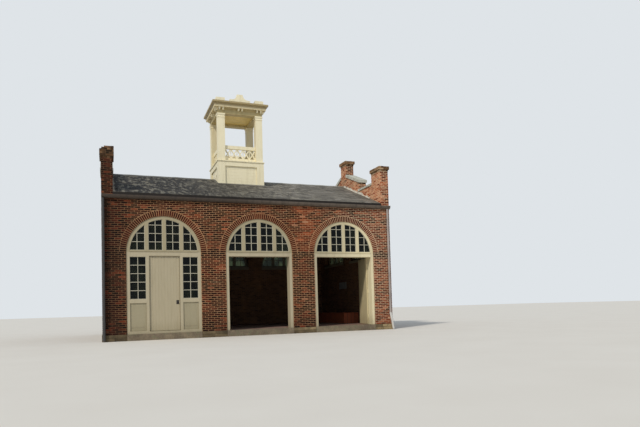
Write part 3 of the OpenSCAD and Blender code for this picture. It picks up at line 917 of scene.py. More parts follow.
@dataclass(frozen=True)
class Plan:
    """Sizes of the building in metres, read from the frame wherever it shows them.

    wide and deep are the distances of the gable and the long walls' faces from the middle,
    and inner is that of the gables' inner faces. A bay is given by its middle.
    """

    wide: float
    deep: float
    inner: float
    floor_z: float
    spring_z: float
    arch_r: float
    ring_r: float
    light_z: float
    light_r: float
    sill_z: float
    front_bays: Row
    ridge_z: float
    slope: float
    ridge_pier_z: float
    cupola_half: float
    rear_bays: Row = (-3.15, 0.0, 3.15)
    gable_bays: Row = (-1.55, 1.55)
    pier_depth: float = 0.78
    raised_half: float = 1.60
    raised_height: float = 0.515
    ridge_half: float = 0.30
    low_height: float = 5.75
    pier_heights: Pair = (5.98, 6.16)
    cap_course: float = 0.068
    cap_courses: tuple[int, int] = (6, 3)
    ridge_courses: tuple[int, int] = (1, 3)

    @classmethod
    def from_frame(cls, roof_drop: float = 0.1716) -> "Plan":
        """Reads the boxes of the walls, rings, fanlights and roof.

        Args:
            roof_drop: thickness of the roof measured upright.

        Returns:
            The sizes. The bays' pitch is the rings' half span less a ring's radius, and
            the slope is rise over run.
        """
        gable, roof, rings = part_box("gable_right"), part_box("roof_front"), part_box("front_arch_rings")
        fan, glass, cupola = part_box("front_fanlights"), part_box("front_fanlight_glass"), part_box("cupola_base")
        ring_r = rings[1].z - rings[0].z
        pitch = rings[1].x - ring_r
        return cls(
            wide=gable[1].x, deep=gable[1].y, inner=gable[0].x, floor_z=gable[0].z,
            spring_z=rings[0].z, arch_r=fan[1].z - rings[0].z, ring_r=ring_r,
            light_z=glass[0].z, light_r=-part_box("entry_frame")[0].x - pitch,
            sill_z=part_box("lunette_sills")[0].z, front_bays=(-pitch, 0.0, pitch), ridge_z=roof[1].z,
            slope=(roof[1].z - roof_drop - roof[0].z) / -roof[0].y, ridge_pier_z=gable[1].z,
            cupola_half=cupola[1].x)

    def slate_z(self, y: float) -> float:
        """Returns the height of the slates: the ridge less slope times distance from it."""
        return self.ridge_z - self.slope * abs(y)

    def pier_top(self, hand: int) -> float:
        """Returns the top of the corner piers under their caps, on the left, -1, or right, 1."""
        return self.floor_z + self.pier_heights[hand > 0]

    def bays(self, side: Side) -> Row:
        """Returns the middles of the arched openings in a wall."""
        return {Side.FRONT: self.front_bays, Side.REAR: self.rear_bays}.get(side, self.gable_bays)

    def face(self, side: Side) -> Face:
        """Returns the drawing plane on a wall's outer face."""
        return Face.upright(side.value, self.deep if side.is_long else self.wide)


# Brickwork

@dataclass(frozen=True)
class Bond:
    """Running bond of brick.

    length, width and course hold their joints. The bricks stand proud of the mortar, their
    backs lie at back, they stray by wander and tilt by no more than tilt, nothing narrower
    than least is laid, and their shades differ by spread.
    """

    length: float = 0.213
    width: float = 0.1065
    course: float = 0.0683
    joint: float = 0.0135
    proud: float = 0.0035
    back: float = -0.002
    worn: float = 0.002
    wander: float = 0.001
    tilt: float = 0.002
    least: float = 0.022
    spread: float = 0.26


@dataclass(frozen=True)
class Arch:
    """A round-arched opening: middle, springing, radii of the ring and the jambs, sill."""

    middle: float
    spring: float
    ring: float
    half: float
    sill: float


@dataclass(frozen=True)
class Zone:
    """A stretch of wall to lay.

    span and height are its limits, those of the span in either order. reach is 1 or -1
    where the even or the odd courses run on round its ends, else 0. lines trim it.
    """

    face: Face
    span: Pair
    height: Pair
    reach: int = 0
    lines: tuple[Triple, ...] = ()
    arches: tuple[Arch, ...] = ()


@dataclass(frozen=True)
class Mark:
    """A mark on the walls: what it adds to shade, soot and warmth, and where it lies.

    x and z are its limits or, where it is soft, its middle and its width.
    """

    add: Triple
    x: Pair = (-math.inf, math.inf)
    z: Pair = (-math.inf, math.inf)
    front_only: bool = False
    soft: bool = False

    def amounts(self, x: Array, z: Array, front: Array) -> Array:
        """Weighs the mark on bricks.

        Args:
            x: where they lie along the front.
            z: their heights.
            front: whether each is on the front.

        Returns:
            What it adds to each tone, n by 3: all of it between sharp limits, else its
            share is e to minus the squares of the distances from its middle over its widths.
        """
        if self.soft:
            share = np.exp(-((x - self.x[0]) / self.x[1]) ** 2 - ((z - self.z[0]) / self.z[1]) ** 2)
        else:
            share = (self.x[0] < x) & (x < self.x[1]) & (self.z[0] < z) & (z < self.z[1])
        return np.outer(share * (front | (not self.front_only)), self.add)


@dataclass
class Weather:
    """Where the bricks are dark, sooty or warm, by place, with a share of chance.

    The marks are, in order: soot along the transoms, a warm patch between two arches, painted
    shadow under the gutter carried as soot, soot on the lower piers, warmth over the eaves on the
    left and on the right, painted sunlight with some lime wash on the right pier's inner edge, soot
    on the right pier's front, and the gables' tops. The left piers are striped course by course.
    foot is the soot at the ground and how fast it fades, stray how far chance takes soot and
    warmth, and sooty and baked are odd bricks.
    """

    plan: Plan
    chance: Chance
    # how much darker the front's bricks are, from left to right, through the soot number
    darkening_x: Row = (-5.4, -4.6, -2.2, 1.4, 3.2, 4.6, 5.4)
    soot: Row = (0.95, 0.75, 0.46, 0.40, 0.22, 0.04, 0.0)
    marks: tuple[Mark, ...] = (
        Mark((-0.25, 0.75, -0.5), (0.0, math.inf), (2.98, 0.09), True, soft=True),
        Mark((0.0, 0.0, 0.85), (1.8, 0.5), (4.0, 0.7), True, soft=True),
        # painted shadow under the gutter, carried in the soot number
        Mark((0.0, 0.5, 0.0), z=(4.7, 4.95), front_only=True),
        Mark((0.0, 0.1, 0.0), (-math.inf, 3.0), (-math.inf, 2.9), True),
        Mark((0.0, 0.0, 0.12), (-math.inf, 0.0), (4.6, math.inf)),
        Mark((0.0, 0.0, 0.35), (0.0, math.inf), (4.6, math.inf)),
        # painted sunlight with some lime wash on the right pier's inner edge
        Mark((0.3, -0.3, 0.7), (5.0, 5.1), (4.9, math.inf)),
        Mark((0.0, 0.3, 0.0), (4.9, math.inf), (5.0, math.inf), True),
        Mark((0.0, 0.45, -0.35), z=(6.3, math.inf)))
    striped: Mark = Mark((0.0, 1.0, 0.0), (-math.inf, -4.9), (4.8, 6.2))
    stripes: Pair = (0.35, -0.3)
    right_x: float = 4.0
    right_end: Triple = (0.12, 0.0, 0.35)
    foot: Pair = (0.25, 0.5)
    level: Pair = (0.72, 1.04)
    stray: Pair = (0.45, 0.55)
    sooty: Pair = (0.07, 1.5)
    baked: Pair = (0.95, 2.2)

    def tones(self, place: Array, spread: float) -> Array:
        """Chooses a tone for each brick.

        Args:
            place: the middles of the bricks, n by 3.
            spread: how far their shades differ.

        Returns:
            Shade, soot and warmth, n by 3. The mean shade is the first level less the
            second one times the spread. Along the front the soot number falls from left to
            right, so the bricks darken towards the left; elsewhere it drifts by two sines.
            Chance goes with the spread.
        """
        x, y, z = place.T
        front = y < 0.3 - self.plan.deep
        drift = np.sin(1.3 * x + 0.9 * y + 1.0) * np.sin(1.1 * z - 0.7 * y + 2.0)
        tone = np.outer(np.clip(x - self.right_x, 0, 1), self.right_end)
        tone[:, 0] += self.level[0] - self.level[1] * spread
        tone[:, 1] += np.where(front, np.interp(x, self.darkening_x, self.soot), 0.38 - 0.02 * x + 0.2 * drift)
        tone[:, 1] += self.foot[0] * np.exp(-z / self.foot[1])
        tone[:, 2] += 0.12 * np.clip(drift, 0, 1)
        for mark in self.marks:
            tone += mark.amounts(x, z, front)
        course = np.round((z - self.plan.floor_z) / self.plan.cap_course)
        stripe = np.where(course % 2 == 0, *self.stripes)
        tone += self.striped.amounts(x, z, front) * stripe[:, None]
        shade, soot, warm = tone.T
        shade = np.clip(self.chance.normal(shade, spread), 0, 1)
        odd = self.chance.random(len(place))
        soot = soot + spread * (self.chance.normal(0, self.stray[0], len(place))
                                + self.sooty[1] * (odd < self.sooty[0]))
        warm = warm + spread * (self.chance.normal(0, self.stray[1], len(place))
                                + self.baked[1] * (odd > self.baked[0]))
        return np.clip(np.c_[shade, soot, warm], 0, 1)


@dataclass
class Brickwork:
    """The walls' bricks, on all outer faces and on the parapets above the slates.

    The bricks run up behind the gutter by under_gutter. The parapets' inner faces start at
    inner_feet, at the piers, the low and the raised parts, and are cut over_slates. slack
    is for rounding courses, and a line at minus far cuts nothing.
    """

    plan: Plan
    bond: Bond
    weather: Weather
    finish: Material
    under_gutter: float = 0.08
    over_ridge: float = 0.06
    over_slates: float = 0.01
    inner_feet: Triple = (4.9, 5.1, 5.6)
    slack: float = 0.01
    far: float = 1000.0

    def joint(self, height: float) -> float:
        """Returns the bed joint at or just below a height."""
        courses = math.floor((height - self.plan.floor_z) / self.bond.course + TINY)
        return self.plan.floor_z + courses * self.bond.course

    def lay(self, piece: Piece, zone: Zone) -> None:
        """Lays one zone in running bond, every second course half a brick on.

        Args:
            piece: the piece to add to.
            zone: the zone.
        """
        bond = self.bond
        start, end = sorted(zone.span)
        low, high = ((edge - self.plan.floor_z) / bond.course for edge in zone.height)
        rows = np.arange(math.floor(low + self.slack), math.ceil(high - self.slack))
        columns = np.arange(math.floor(start / bond.length) - 1, math.ceil(end / bond.length) + 1)
        row, column = (grid.ravel() for grid in np.meshgrid(rows, columns, indexing="ij"))
        gap, odd = bond.joint / 2, row % 2
        first = (column + 0.5 * odd) * bond.length
        stray = self.weather.chance.normal(0, bond.wander, (2, len(row)))
        run_on = bond.proud * (1 - 2 * odd == zone.reach)
        left = np.maximum(first + gap + stray[0], start - run_on)
        right = np.minimum(first + bond.length - gap + stray[1], end + run_on)
        bed = self.plan.floor_z + row * bond.course
        base = np.maximum(bed + gap, zone.height[0])
        top = np.minimum(bed + bond.course - gap, zone.height[1])
        whole = (right - left > bond.least) & (top - base > bond.least)
        left, right, base, top = (side[whole] for side in (left, right, base, top))
        outline, count = trim(rectangles(left, right, base, top), np.full(len(left), 4), zone.lines)
        middle = np.c_[left + right, base + top] / 2
        for arch in zone.arches:
            outline, count = self.clear_arch(outline, count, middle, arch)
        self.stand(piece, zone.face, outline, count, bond.spread)

    def clear_arch(self, outline: Array, count: Array, middle: Array, arch: Arch) -> tuple[Array, Array]:
        """Trims bricks to an arched opening.

        Args:
            outline: their corners.
            count: how many corners each has.
            middle: their middles before any trim.
            arch: the opening.

        Returns:
            The new corners and counts. A brick over the springing is cut at the ring's
            radius by the line square to its own radius, one below it by the jamb, and
            one under the sill not at all.
        """
        away = middle - [arch.middle, arch.spring]
        distance = np.maximum(np.hypot(*away.T), TINY)
        above = away[:, 1] > 0
        aside = np.where(away[:, 0] < 0, -1.0, 1.0)
        normal = np.where(above[:, None], away / distance[:, None], np.c_[aside, np.zeros(len(aside))])
        reach = np.where(above, arch.ring, arch.half) + self.bond.joint / 2
        offset = normal @ [arch.middle, arch.spring] + reach
        return cut(outline, count, normal, np.where(middle[:, 1] < arch.sill, -self.far, offset))

    def stand(self, piece: Piece, face: Face, outline: Array, count: Array, spread: float) -> None:
        """Adds bricks to a piece, with slightly tilted faces.

        Args:
            piece: the piece.
            face: the wall's face.
            outline: the bricks' corners.
            count: how many corners each has.
            spread: how far their shades differ.
        """
        bond, chance = self.bond, self.weather.chance
        used = np.arange(outline.shape[1]) < count[:, None]
        safe = np.where(used[..., None], outline, outline[:, :1])
        extent = safe.max(1) - safe.min(1)
        count = np.where(extent.min(1) > bond.least / 2, count, 0)
        middle = (safe.max(1) + safe.min(1)) / 2
        tilt = chance.normal(0, bond.wander, (len(outline), 2))
        lean = ((outline - middle[:, None]) / np.maximum(extent[:, None], 1e-3) * tilt[:, None]).sum(-1)
        lean = np.clip(chance.normal(0, bond.wander, (len(outline), 1)) + lean, -bond.tilt, bond.tilt)
        tone = self.weather.tones(face.place(middle, 0.0), spread)
        piece.add_prisms(face, outline, bond.back, bond.proud + lean, bond.worn, tone, count)

    def arches(self, side: Side) -> tuple[Arch, ...]:
        """Returns the arched openings of a wall. Those of the front have no sill."""
        plan, sill = self.plan, 0.0 if side is Side.FRONT else self.plan.sill_z
        return tuple(Arch(c, plan.spring_z, plan.ring_r, plan.arch_r, sill) for c in plan.bays(side))

    def long_wall(self, side: Side) -> None:
        """Lays the front or the rear wall and the ends of the gables beside it.

        Args:
            side: which of the two.
        """
        plan, is_front = self.plan, side is Side.FRONT
        piece = Piece(f"{side.name.lower()}_bricks", "brick_front" if is_front else "brick_rear")
        face = plan.face(side)
        eave = self.joint(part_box("gutters")[0].z + self.under_gutter)
        self.lay(piece, Zone(face, (-plan.wide, plan.wide), (plan.floor_z, eave), 1,
                             arches=self.arches(side)))
        for end in (-1, 1):
            top = plan.pier_top(end if is_front else -end)
            self.lay(piece, Zone(face, (end * plan.inner, end * plan.wide), (eave, top), 1))
        piece.build(self.finish)

    def gable(self, side: Side) -> None:
        """Lays a gable: wall, corner piers, raised part, ridge pier, and all above the slates.

        Args:
            side: the left or the right wall.
        """
        plan, hand = self.plan, 1 if side is Side.RIGHT else -1
        piece = Piece(f"gable_{side.name.lower()}_bricks", "brick_gable")
        outer, inner = plan.face(side), Face.upright(side.value + 180, -plan.inner)
        low = self.joint(plan.floor_z + plan.low_height)
        ridge = self.joint(plan.ridge_z + self.over_ridge)
        crown = self.joint(plan.slate_z(plan.ridge_half) + plan.raised_height)
        top, half, pier = plan.pier_top(hand), plan.raised_half, plan.deep - plan.pier_depth
        peak = -(plan.ridge_z + plan.raised_height)
        under_coping = ((-plan.slope, -1.0, peak), (plan.slope, -1.0, peak))
        self.lay(piece, Zone(outer, (-plan.deep, plan.deep), (plan.floor_z, low), -1,
                             arches=self.arches(side)))
        for face, foot in ((outer, low), (inner, ridge)):
            self.lay(piece, Zone(face, (-half, half), (foot, crown), -1, under_coping))
            self.lay(piece, Zone(face, (-plan.ridge_half, plan.ridge_half), (crown, plan.ridge_pier_z), -1))
        at_pier, at_low, at_raised = self.inner_feet
        for end in (-1, 1):
            over_slates = (end * plan.slope, 1.0, plan.ridge_z + self.over_slates)
            corner = (end * pier, end * plan.deep)
            self.lay(piece, Zone(outer, corner, (low, top), -1))
            self.lay(piece, Zone(inner, corner, (at_pier, top), -1, (over_slates,)))
            self.lay(piece, Zone(inner, (end * half, end * pier), (at_low, low), 0, (over_slates,)))
            self.lay(piece, Zone(inner, (0.0, end * half), (at_raised, ridge), 0,
                                 (over_slates, *under_coping)))
            self.ends(piece, hand, end, low, top, crown)
        piece.build(self.finish)

    def ends(self, piece: Piece, hand: int, end: int, low: float, top: float, crown: float) -> None:
        """Lays the narrow faces across a gable wall, above its low copings.

        Args:
            piece: the piece to add to.
            hand: -1 for the left gable, 1 for the right one.
            end: -1 for the front half of the gable, 1 for the rear half.
            low: the bed joint under the low copings.
            top: the top of the corner piers.
            crown: the bed joint where the ridge pier starts.
        """
        plan = self.plan
        away, back = (0, 180) if end < 0 else (180, 0)
        for turn, distance, base, head in (
                (back, plan.pier_depth - plan.deep, low, top),
                (away, plan.raised_half, low, plan.slate_z(plan.raised_half) + plan.raised_height),
                (away, plan.ridge_half, crown, plan.ridge_pier_z)):
            way = hand if turn == 0 else -hand
            self.lay(piece, Zone(Face.upright(turn, distance), (way * plan.inner, way * plan.wide),
                                 (base, head), 1))

    def build(self) -> None:
        """Lays all four walls."""
        self.long_wall(Side.FRONT)
        self.long_wall(Side.REAR)
        self.gable(Side.LEFT)
        self.gable(Side.RIGHT)


@dataclass
class ArchBricks:
    """One ring of wedge-shaped bricks round each arched opening."""

    plan: Plan
    work: Brickwork
    bricks: int = 59
    joint: float = 0.018
    spread: float = 0.07
    clear: float = 0.003
    wander: float = 0.002

    def ring(self, piece: Piece, face: Face, middle: float) -> None:
        """Adds one ring.

        A corner at radius r and angle t lies at middle + r cos t, springing + r sin t, and
        half a joint turns it by half the joint over r.

        Args:
            piece: the piece to add to.
            face: the wall's face.
            middle: the opening's middle.
        """
        gap = self.joint / 2
        step = math.pi / self.bricks
        first = np.arange(self.bricks) * step
        last = first + step
        inner = np.full(self.bricks, self.plan.arch_r + self.clear)
        outer = self.plan.ring_r - gap + self.work.weather.chance.normal(0, self.wander, self.bricks)
        corners = ((inner, first, gap), (outer, first, gap), (outer, last, -gap), (inner, last, -gap))
        flat = [np.c_[middle + r * np.cos(t + turn / r), self.plan.spring_z + r * np.sin(t + turn / r)]
                for r, t, turn in corners]
        self.work.stand(piece, face, np.stack(flat, 1), np.full(self.bricks, 4), self.spread)

    def build(self) -> None:
        """Builds the front rings as one piece and those of the lunettes as another."""
        front, rest = Piece("front_arch_bricks", "arch_brick"), Piece("lunette_arch_bricks", "arch_brick")
        for side in Side:
            for middle in self.plan.bays(side):
                self.ring(front if side is Side.FRONT else rest, self.plan.face(side), middle)
        front.build(self.work.finish)
        rest.build(self.work.finish)


@dataclass
class PierCaps:
    """Corbelled caps, laid course by course; the front left one has lost its outer bricks.

    A cap steps out by overhang, its first course by a share of that. lost is what is gone of
    the broken cap's top courses along x and y, and recess how far the mortar lies back.
    """

    plan: Plan
    work: Brickwork
    finish: Material
    mortar: Material
    overhang: float = 0.05
    ridge_overhang: float = 0.06
    first_share: float = 0.25
    lost: Pair = (0.15, 0.38)
    recess: float = 0.006
    sunk: float = 0.004
    wander: float = 0.0015

    def bed(self, bricks: Piece, low: Array, high: Array, turned: bool) -> None:
        """Adds the bricks of one course of a part of a cap.

        Args:
            bricks: the piece for the bricks.
            low: the part's lowest corner.
            high: its highest corner.
            turned: whether the bricks lie along y.
        """
        bond, weather = self.work.bond, self.work.weather
        size = np.array([bond.width, bond.length] if turned else [bond.length, bond.width])
        cells = np.ceil((high - low)[:2] / size).astype(int) + 1
        i, j = np.indices(cells).reshape(2, -1)
        step = np.c_[i - 0.5 * (j % 2) * (not turned), j - 0.5 * (i % 2) * turned]
        first = np.maximum(low[:2] + step * size, low[:2])
        last = np.minimum(low[:2] + (step + 1) * size - bond.joint, high[:2])
        whole = (last - first).min(1) > bond.least
        first, last = first[whole], last[whole]
        outline = rectangles(first[:, 0], last[:, 0], first[:, 1], last[:, 1])
        face, thick = Face(low[2] * Z_AXIS, X_AXIS, Y_AXIS, Z_AXIS), high[2] - low[2]
        front = thick - self.sunk + weather.chance.normal(0, self.wander, (len(outline), 1))
        tone = weather.tones(face.place((first + last) / 2, 0.0), bond.spread)
        bricks.add_prisms(face, outline, self.sunk, np.minimum(front, thick), bond.worn, tone)

    def cap(self, bricks: Piece, core: Piece, middle: Triple, size: Pair, courses: int,
            overhang: float, broken: bool = False) -> None:
        """Adds one cap.

        Args:
            bricks: the piece for the bricks.
            core: the piece for the mortar.
            middle: x, y and the height of the pier's top.
            size: the pier's width and depth.
            courses: how many courses the cap has.
            overhang: how far all but the first course step out.
            broken: whether the outer bricks of the two top courses are lost.
        """
        inset = np.array([self.recess, self.recess, 0.0])
        for k in range(courses):
            out = overhang * (self.first_share if k == 0 else 1.0)
            half = np.array([size[0] / 2 + out, size[1] / 2 + out, 0.0])
            foot = np.array(middle) + k * self.plan.cap_course * Z_AXIS
            low, high = foot - half, foot + half + self.plan.cap_course * Z_AXIS
            head = high - inset - self.recess * (k == courses - 1) * Z_AXIS
            if broken and k >= courses - 2:
                ledge = low + [*self.lost, 0.0]
                front, side = np.array([ledge[0], low[1], low[2]]), np.array([low[0], ledge[1], low[2]])
                core.add(boxes(np.stack([front, side]) + inset, np.stack([head, head])))
                self.bed(bricks, front, high, k % 2 == 0)
                self.bed(bricks, side, np.array([ledge[0] - self.work.bond.joint, *high[1:]]), k % 2 == 1)
            else:
                core.add(boxes(low + inset, head))
                self.bed(bricks, low, high, k % 2 == 0)

    def build(self) -> None:
        """Builds the four corner caps and the two ridge caps in place of the frame's."""
        plan = self.plan
        bricks, core = Piece("cap_bricks", "cap_brick"), Piece("cap_mortar", "cap_brick")
        middle_x = (plan.wide + plan.inner) / 2
        thick = plan.wide - plan.inner
        for hand in (-1, 1):
            top, courses = plan.pier_top(hand), plan.cap_courses[hand > 0]
            for end in (-1, 1):
                self.cap(bricks, core, (hand * middle_x, end * (plan.deep - plan.pier_depth / 2), top),
                         (thick, plan.pier_depth), courses, self.overhang, hand < 0 and end < 0)
            self.cap(bricks, core, (hand * middle_x, 0.0, plan.ridge_pier_z),
                     (thick, 2 * plan.ridge_half), plan.ridge_courses[hand > 0], self.ridge_overhang)
        bricks.build(self.finish)
        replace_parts(core.build(self.mortar), "pier_caps")


@dataclass
class BaseStones:
    """Two rough courses of stones on the base, between the doorways.

    The stones are of about one length. Their joints stray, their tops sag and their faces
    are skewed. On the front the place adds shade to a share of each stone's own.
    """

    plan: Plan
    chance: Chance
    finish: Material
    length: float = 0.42
    joint: float = 0.012
    margin: float = 0.004
    split: float = 0.112
    proud: float = 0.006
    back: float = -0.002
    worn: float = 0.004
    stray: float = 0.05
    sag: float = 0.003
    skew: Pair = (-0.004, 0.003)
    own_share: float = 0.6
    shade_x: Row = (-5.4, 1.7, 4.8, 5.1)
    shade: Row = (-0.25, 0.1, 0.4, 0.8)

    def build(self) -> None:
        """Lays the stones, with random lengths, on all four sides."""
        piece = Piece("base_stones", "base_stone")
        low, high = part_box("stone_base")
        gaps = [edge + way * self.plan.arch_r for edge in self.plan.front_bays for way in (-1, 1)]
        heights = ((low.z + self.margin, self.split), (self.split + self.joint, high.z - self.margin))
        for side in Side:
            reach, distance = (high.x, high.y) if side.is_long else (high.y, high.x)
            ends = [-reach, *gaps, reach] if side is Side.FRONT else [-reach, reach]
            for span in zip(ends[::2], ends[1::2]):
                for height in heights:
                    self.course(piece, side, distance, span, height)
        piece.build(self.finish)

    def course(self, piece: Piece, side: Side, distance: float, span: Pair, height: Pair) -> None:
        """Lays one course.

        Args:
            piece: the piece to add to.
            side: the wall that it is under.
            distance: how far the base's face is from the middle.
            span: its limits along the face.
            height: its limits up.
        """
        count = max(1, round((span[1] - span[0]) / self.length))
        edges = np.linspace(*span, count + 1)
        edges[1:-1] += self.chance.normal(0, self.stray, count - 1)
        left, right = edges[:-1] + self.joint / 2, edges[1:] - self.joint / 2
        outline = rectangles(left, right, *height)
        outline[:, 2:, 1] -= np.abs(self.chance.normal(0, self.sag, (count, 2)))
        front = self.proud + self.chance.uniform(*self.skew, (count, 4))
        shade = self.chance.random(count)
        if side is Side.FRONT:
            shade = self.own_share * shade + np.interp((left + right) / 2, self.shade_x, self.shade)
        tone = np.c_[shade, np.zeros((count, 2))]
        piece.add_prisms(Face.upright(side.value, distance), outline, self.back, front, self.worn, tone)


@dataclass
class Roof:
    """Slates in courses, a folded ridge, mortar fillets at the parapets, lead at the cupola.

    A slate is butt thick at its foot and head thick at its head, and laps under the course
    above. Slates stray, slip and lift by chance, and slipped is the share of those that
    went further, and how far. shade and lichen go by place_x.
    """

    plan: Plan
    chance: Chance
    slate: Material
    lead: Material
    lime: Material
    courses: int = 20
    width: float = 0.28
    gap: float = 0.004
    margin: float = 0.001
    least: float = 0.03
    butt: float = 0.010
    head: float = 0.0035
    back: float = -0.002
    worn: float = 0.001
    lap: float = 0.04
    under_ridge: float = 0.005
    stray: float = 0.006
    slip: float = 0.004
    lift: float = 0.0015
    slipped: Pair = (0.03, 0.02)
    place_x: Row = (-5.0, -2.6, -0.6, 1.4, 3.0, 5.0)
    shade: Row = (0.02, 0.10, 0.42, 0.68, 0.70, 0.68)
    lichen: Row = (0.48, 0.4, 0.25, 0.4, 0.12, 0.08)
    rear_lichen: float = 0.35
    spread: float = 0.1
    ridge_run: Row = (0.0, 0.025, 0.08, 0.16)
    ridge_top: Row = (0.02, 0.004, 0.0, 0.0)
    ridge_rise: float = 0.02
    lead_thick: float = 0.006
    lead_wander: float = 0.0015
    fillet_length: float = 3.90
    faded_length: float = 2.9
    fillet_points: int = 60
    fillet_wide: Triple = (0.07, 0.05, 0.024)
    fillet_high: Triple = (0.08, 0.06, 0.03)
    fillet_rough: float = 0.012
    fillet_thick: Triple = (0.008, 0.018, 0.010)
    apron: float = 0.075
    apron_wander: float = 0.004
    upstand: tuple[Pair, ...] = ((-0.002, 0.035), (0.004, 0.035), (0.012, 0.014), (0.0, 0.012),
                                 (0.0, 0.006), (-0.002, -0.01))

    def slates(self, piece: Piece, turn: float) -> None:
        """Lays one slope.

        Args:
            piece: the piece to add to.
            turn: the way the slope falls, in degrees from the front's.
        """
        plan, chance = self.plan, self.chance
        face = Face.sloped(turn, plan.ridge_z, plan.slope)
        length = -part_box("roof_front")[0].y * math.hypot(1.0, plan.slope)
        show = length / self.courses
        count = round(2 * plan.inner / self.width)
        pitch = 2 * plan.inner / count
        column, row = np.indices((count + 2, self.courses)).reshape(2, -1)
        left = (column - 1 + 0.5 * (row % 2)) * pitch - plan.inner + chance.normal(0, self.stray, len(row))
        right = np.minimum(left + pitch - self.gap, plan.inner - self.margin)
        left = np.maximum(left, self.margin - plan.inner)
        slipped = chance.random((len(row), 1)) > 1 - self.slipped[0]
        slip = chance.normal(0, self.slip, (len(row), 2)) - self.slipped[1] * slipped
        foot = np.clip(-(row[:, None] + 1) * show + slip, -length, None)
        outline = rectangles(left, right, foot[:, 0], np.minimum((self.lap - row) * show, -self.under_ridge))
        outline[:, 1, 1] = foot[:, 1]
        place = face.place(outline, 0.0)
        under = (np.abs(place[..., :2]) < plan.cupola_half).all((1, 2))
        keep = (right - left > self.least) & ~under
        lift = chance.normal(0, self.lift, (len(row), 2))
        front = np.c_[self.butt + lift, np.full((len(row), 2), self.head)]
        x = place[..., 0].mean(1)
        grown = np.interp(x, self.place_x, self.lichen) if turn == 0 else self.rear_lichen
        lichen = np.clip(grown + chance.normal(0, self.spread, len(x)), 0, 1)
        shade = np.clip(chance.normal(np.interp(x, self.place_x, self.shade), self.spread), 0, 1)
        tone = np.c_[shade, lichen, np.zeros(len(x))]
        piece.add_prisms(face, outline[keep], self.back, front[keep], self.worn, tone[keep])

    def ridge(self) -> None:
        """Folds two strips of lead over the ridge, one on each side of the cupola.

        Their path sways and dips as sines of x.
        """
        piece = Piece("ridge_lead", "slate")
        run, top = (np.array(half) for half in (self.ridge_run, self.ridge_top))
        run, top = np.r_[-run[:0:-1], run], np.r_[top[:0:-1], top]
        top = top - self.plan.slope * np.abs(run)
        section = np.vstack([np.c_[run, top], np.c_[run, top - self.lead_thick][::-1]])
        near, far = self.plan.cupola_half, self.plan.inner
        for start, end in ((-far, -near), (near, far)):
            x = np.linspace(start, end, 24)
            dip = 0.003 * np.sin(7 * x) + self.chance.normal(0, self.lead_wander, len(x))
            path = np.c_[x, 0.002 * np.sin(3 * x), self.plan.ridge_z + self.ridge_rise + dip]
            piece.add(sweep(path, Y_AXIS, Z_AXIS, section))
        piece.build(self.lead, smooth=40)

    def fillets(self) -> None:
        """Smears lime mortar along the slates' ends, wider and narrower by chance.

        Width and height are a mean plus an amount times a smoothed run of chance.
        """
        piece = Piece("lime_fillets", "coping_stone")
        count, flat = self.fillet_points, np.ones(self.fillet_points)
        lip, belly, top = (thick * flat for thick in self.fillet_thick)
        (wide, wide_by, least_wide), (high, high_by, least_high) = self.fillet_wide, self.fillet_high
        for turn in (0, 180):
            face = Face.sloped(turn, self.plan.ridge_z, self.plan.slope)
            for hand in (-1, 1):
                length = self.faded_length if turn == 0 and hand > 0 else self.fillet_length
                fall = np.linspace(0.02, length, count)
                path = face.place(np.c_[hand * (self.plan.inner + 0.002) * flat, -fall], 0.0)
                wander = np.convolve(self.chance.normal(0, 1, count + 4), np.ones(5) / 5, "valid")
                rough = self.chance.normal(0, self.fillet_rough, count)
                width = np.clip(wide + wide_by * wander + rough, least_wide, None)
                rise = np.clip(high + high_by * np.roll(wander, 7), least_high, None)
                across = -hand * np.stack([0 * flat, width, 0.6 * width, belly, top], 1)
                out = np.stack([0 * flat, lip, belly, 0.8 * rise, rise], 1)
                piece.add(sweep(path, face.along, face.out, np.stack([across, out], -1)),
                          (0.5 if hand > 0 else -0.3, 0.0, 0.0))
        piece.build(self.lime, smooth=60)

    def aprons(self) -> None:
        """Dresses lead round the foot of the cupola: two aprons and two flanks.

        The outer edge strays, and falls with the slates on the aprons.
        """
        piece = Piece("cupola_lead", "slate")
        half, slope = self.plan.cupola_half, self.plan.slope
        across = np.linspace(-half - 0.006, half + 0.006, 18)
        for side in Side:
            face = Face.upright(side.value, half)
            edge = across[:, None] * face.along + half * face.out
            foot = self.plan.ridge_z - slope * np.abs(edge[:, 1]) + 0.012
            reach = self.apron + self.chance.normal(0, self.apron_wander, (len(foot), 1))
            section = np.tile(self.upstand, (len(foot), 1, 1))
            section[:, 3:5, 0] = reach
            section[:, 3:5, 1] -= slope * side.is_long * reach
            piece.add(sweep(np.c_[edge[:, :2], foot], face.out, face.up, section))
        piece.build(self.lead, smooth=30)

    def build(self) -> None:
        """Builds both slopes and the work at their edges."""
        piece = Piece("slates", "slate")
        self.slates(piece, 0)
        self.slates(piece, 180)
        piece.build(self.slate)
        self.ridge()
        self.fillets()
        self.aprons()


# Joinery

# Profiles of a sash's rim and of a glazing bar: across it, and out of the wall's face.
RIM = np.array([[-0.003, -0.092], [-0.003, -0.034], [0.005, -0.034], [0.008, -0.042], [0.012, -0.045],
                [0.012, -0.092]])
BAR = np.array([[-0.011, -0.091], [-0.011, -0.052], [-0.005, -0.040], [0.005, -0.040], [0.011, -0.052],
                [0.011, -0.091]])


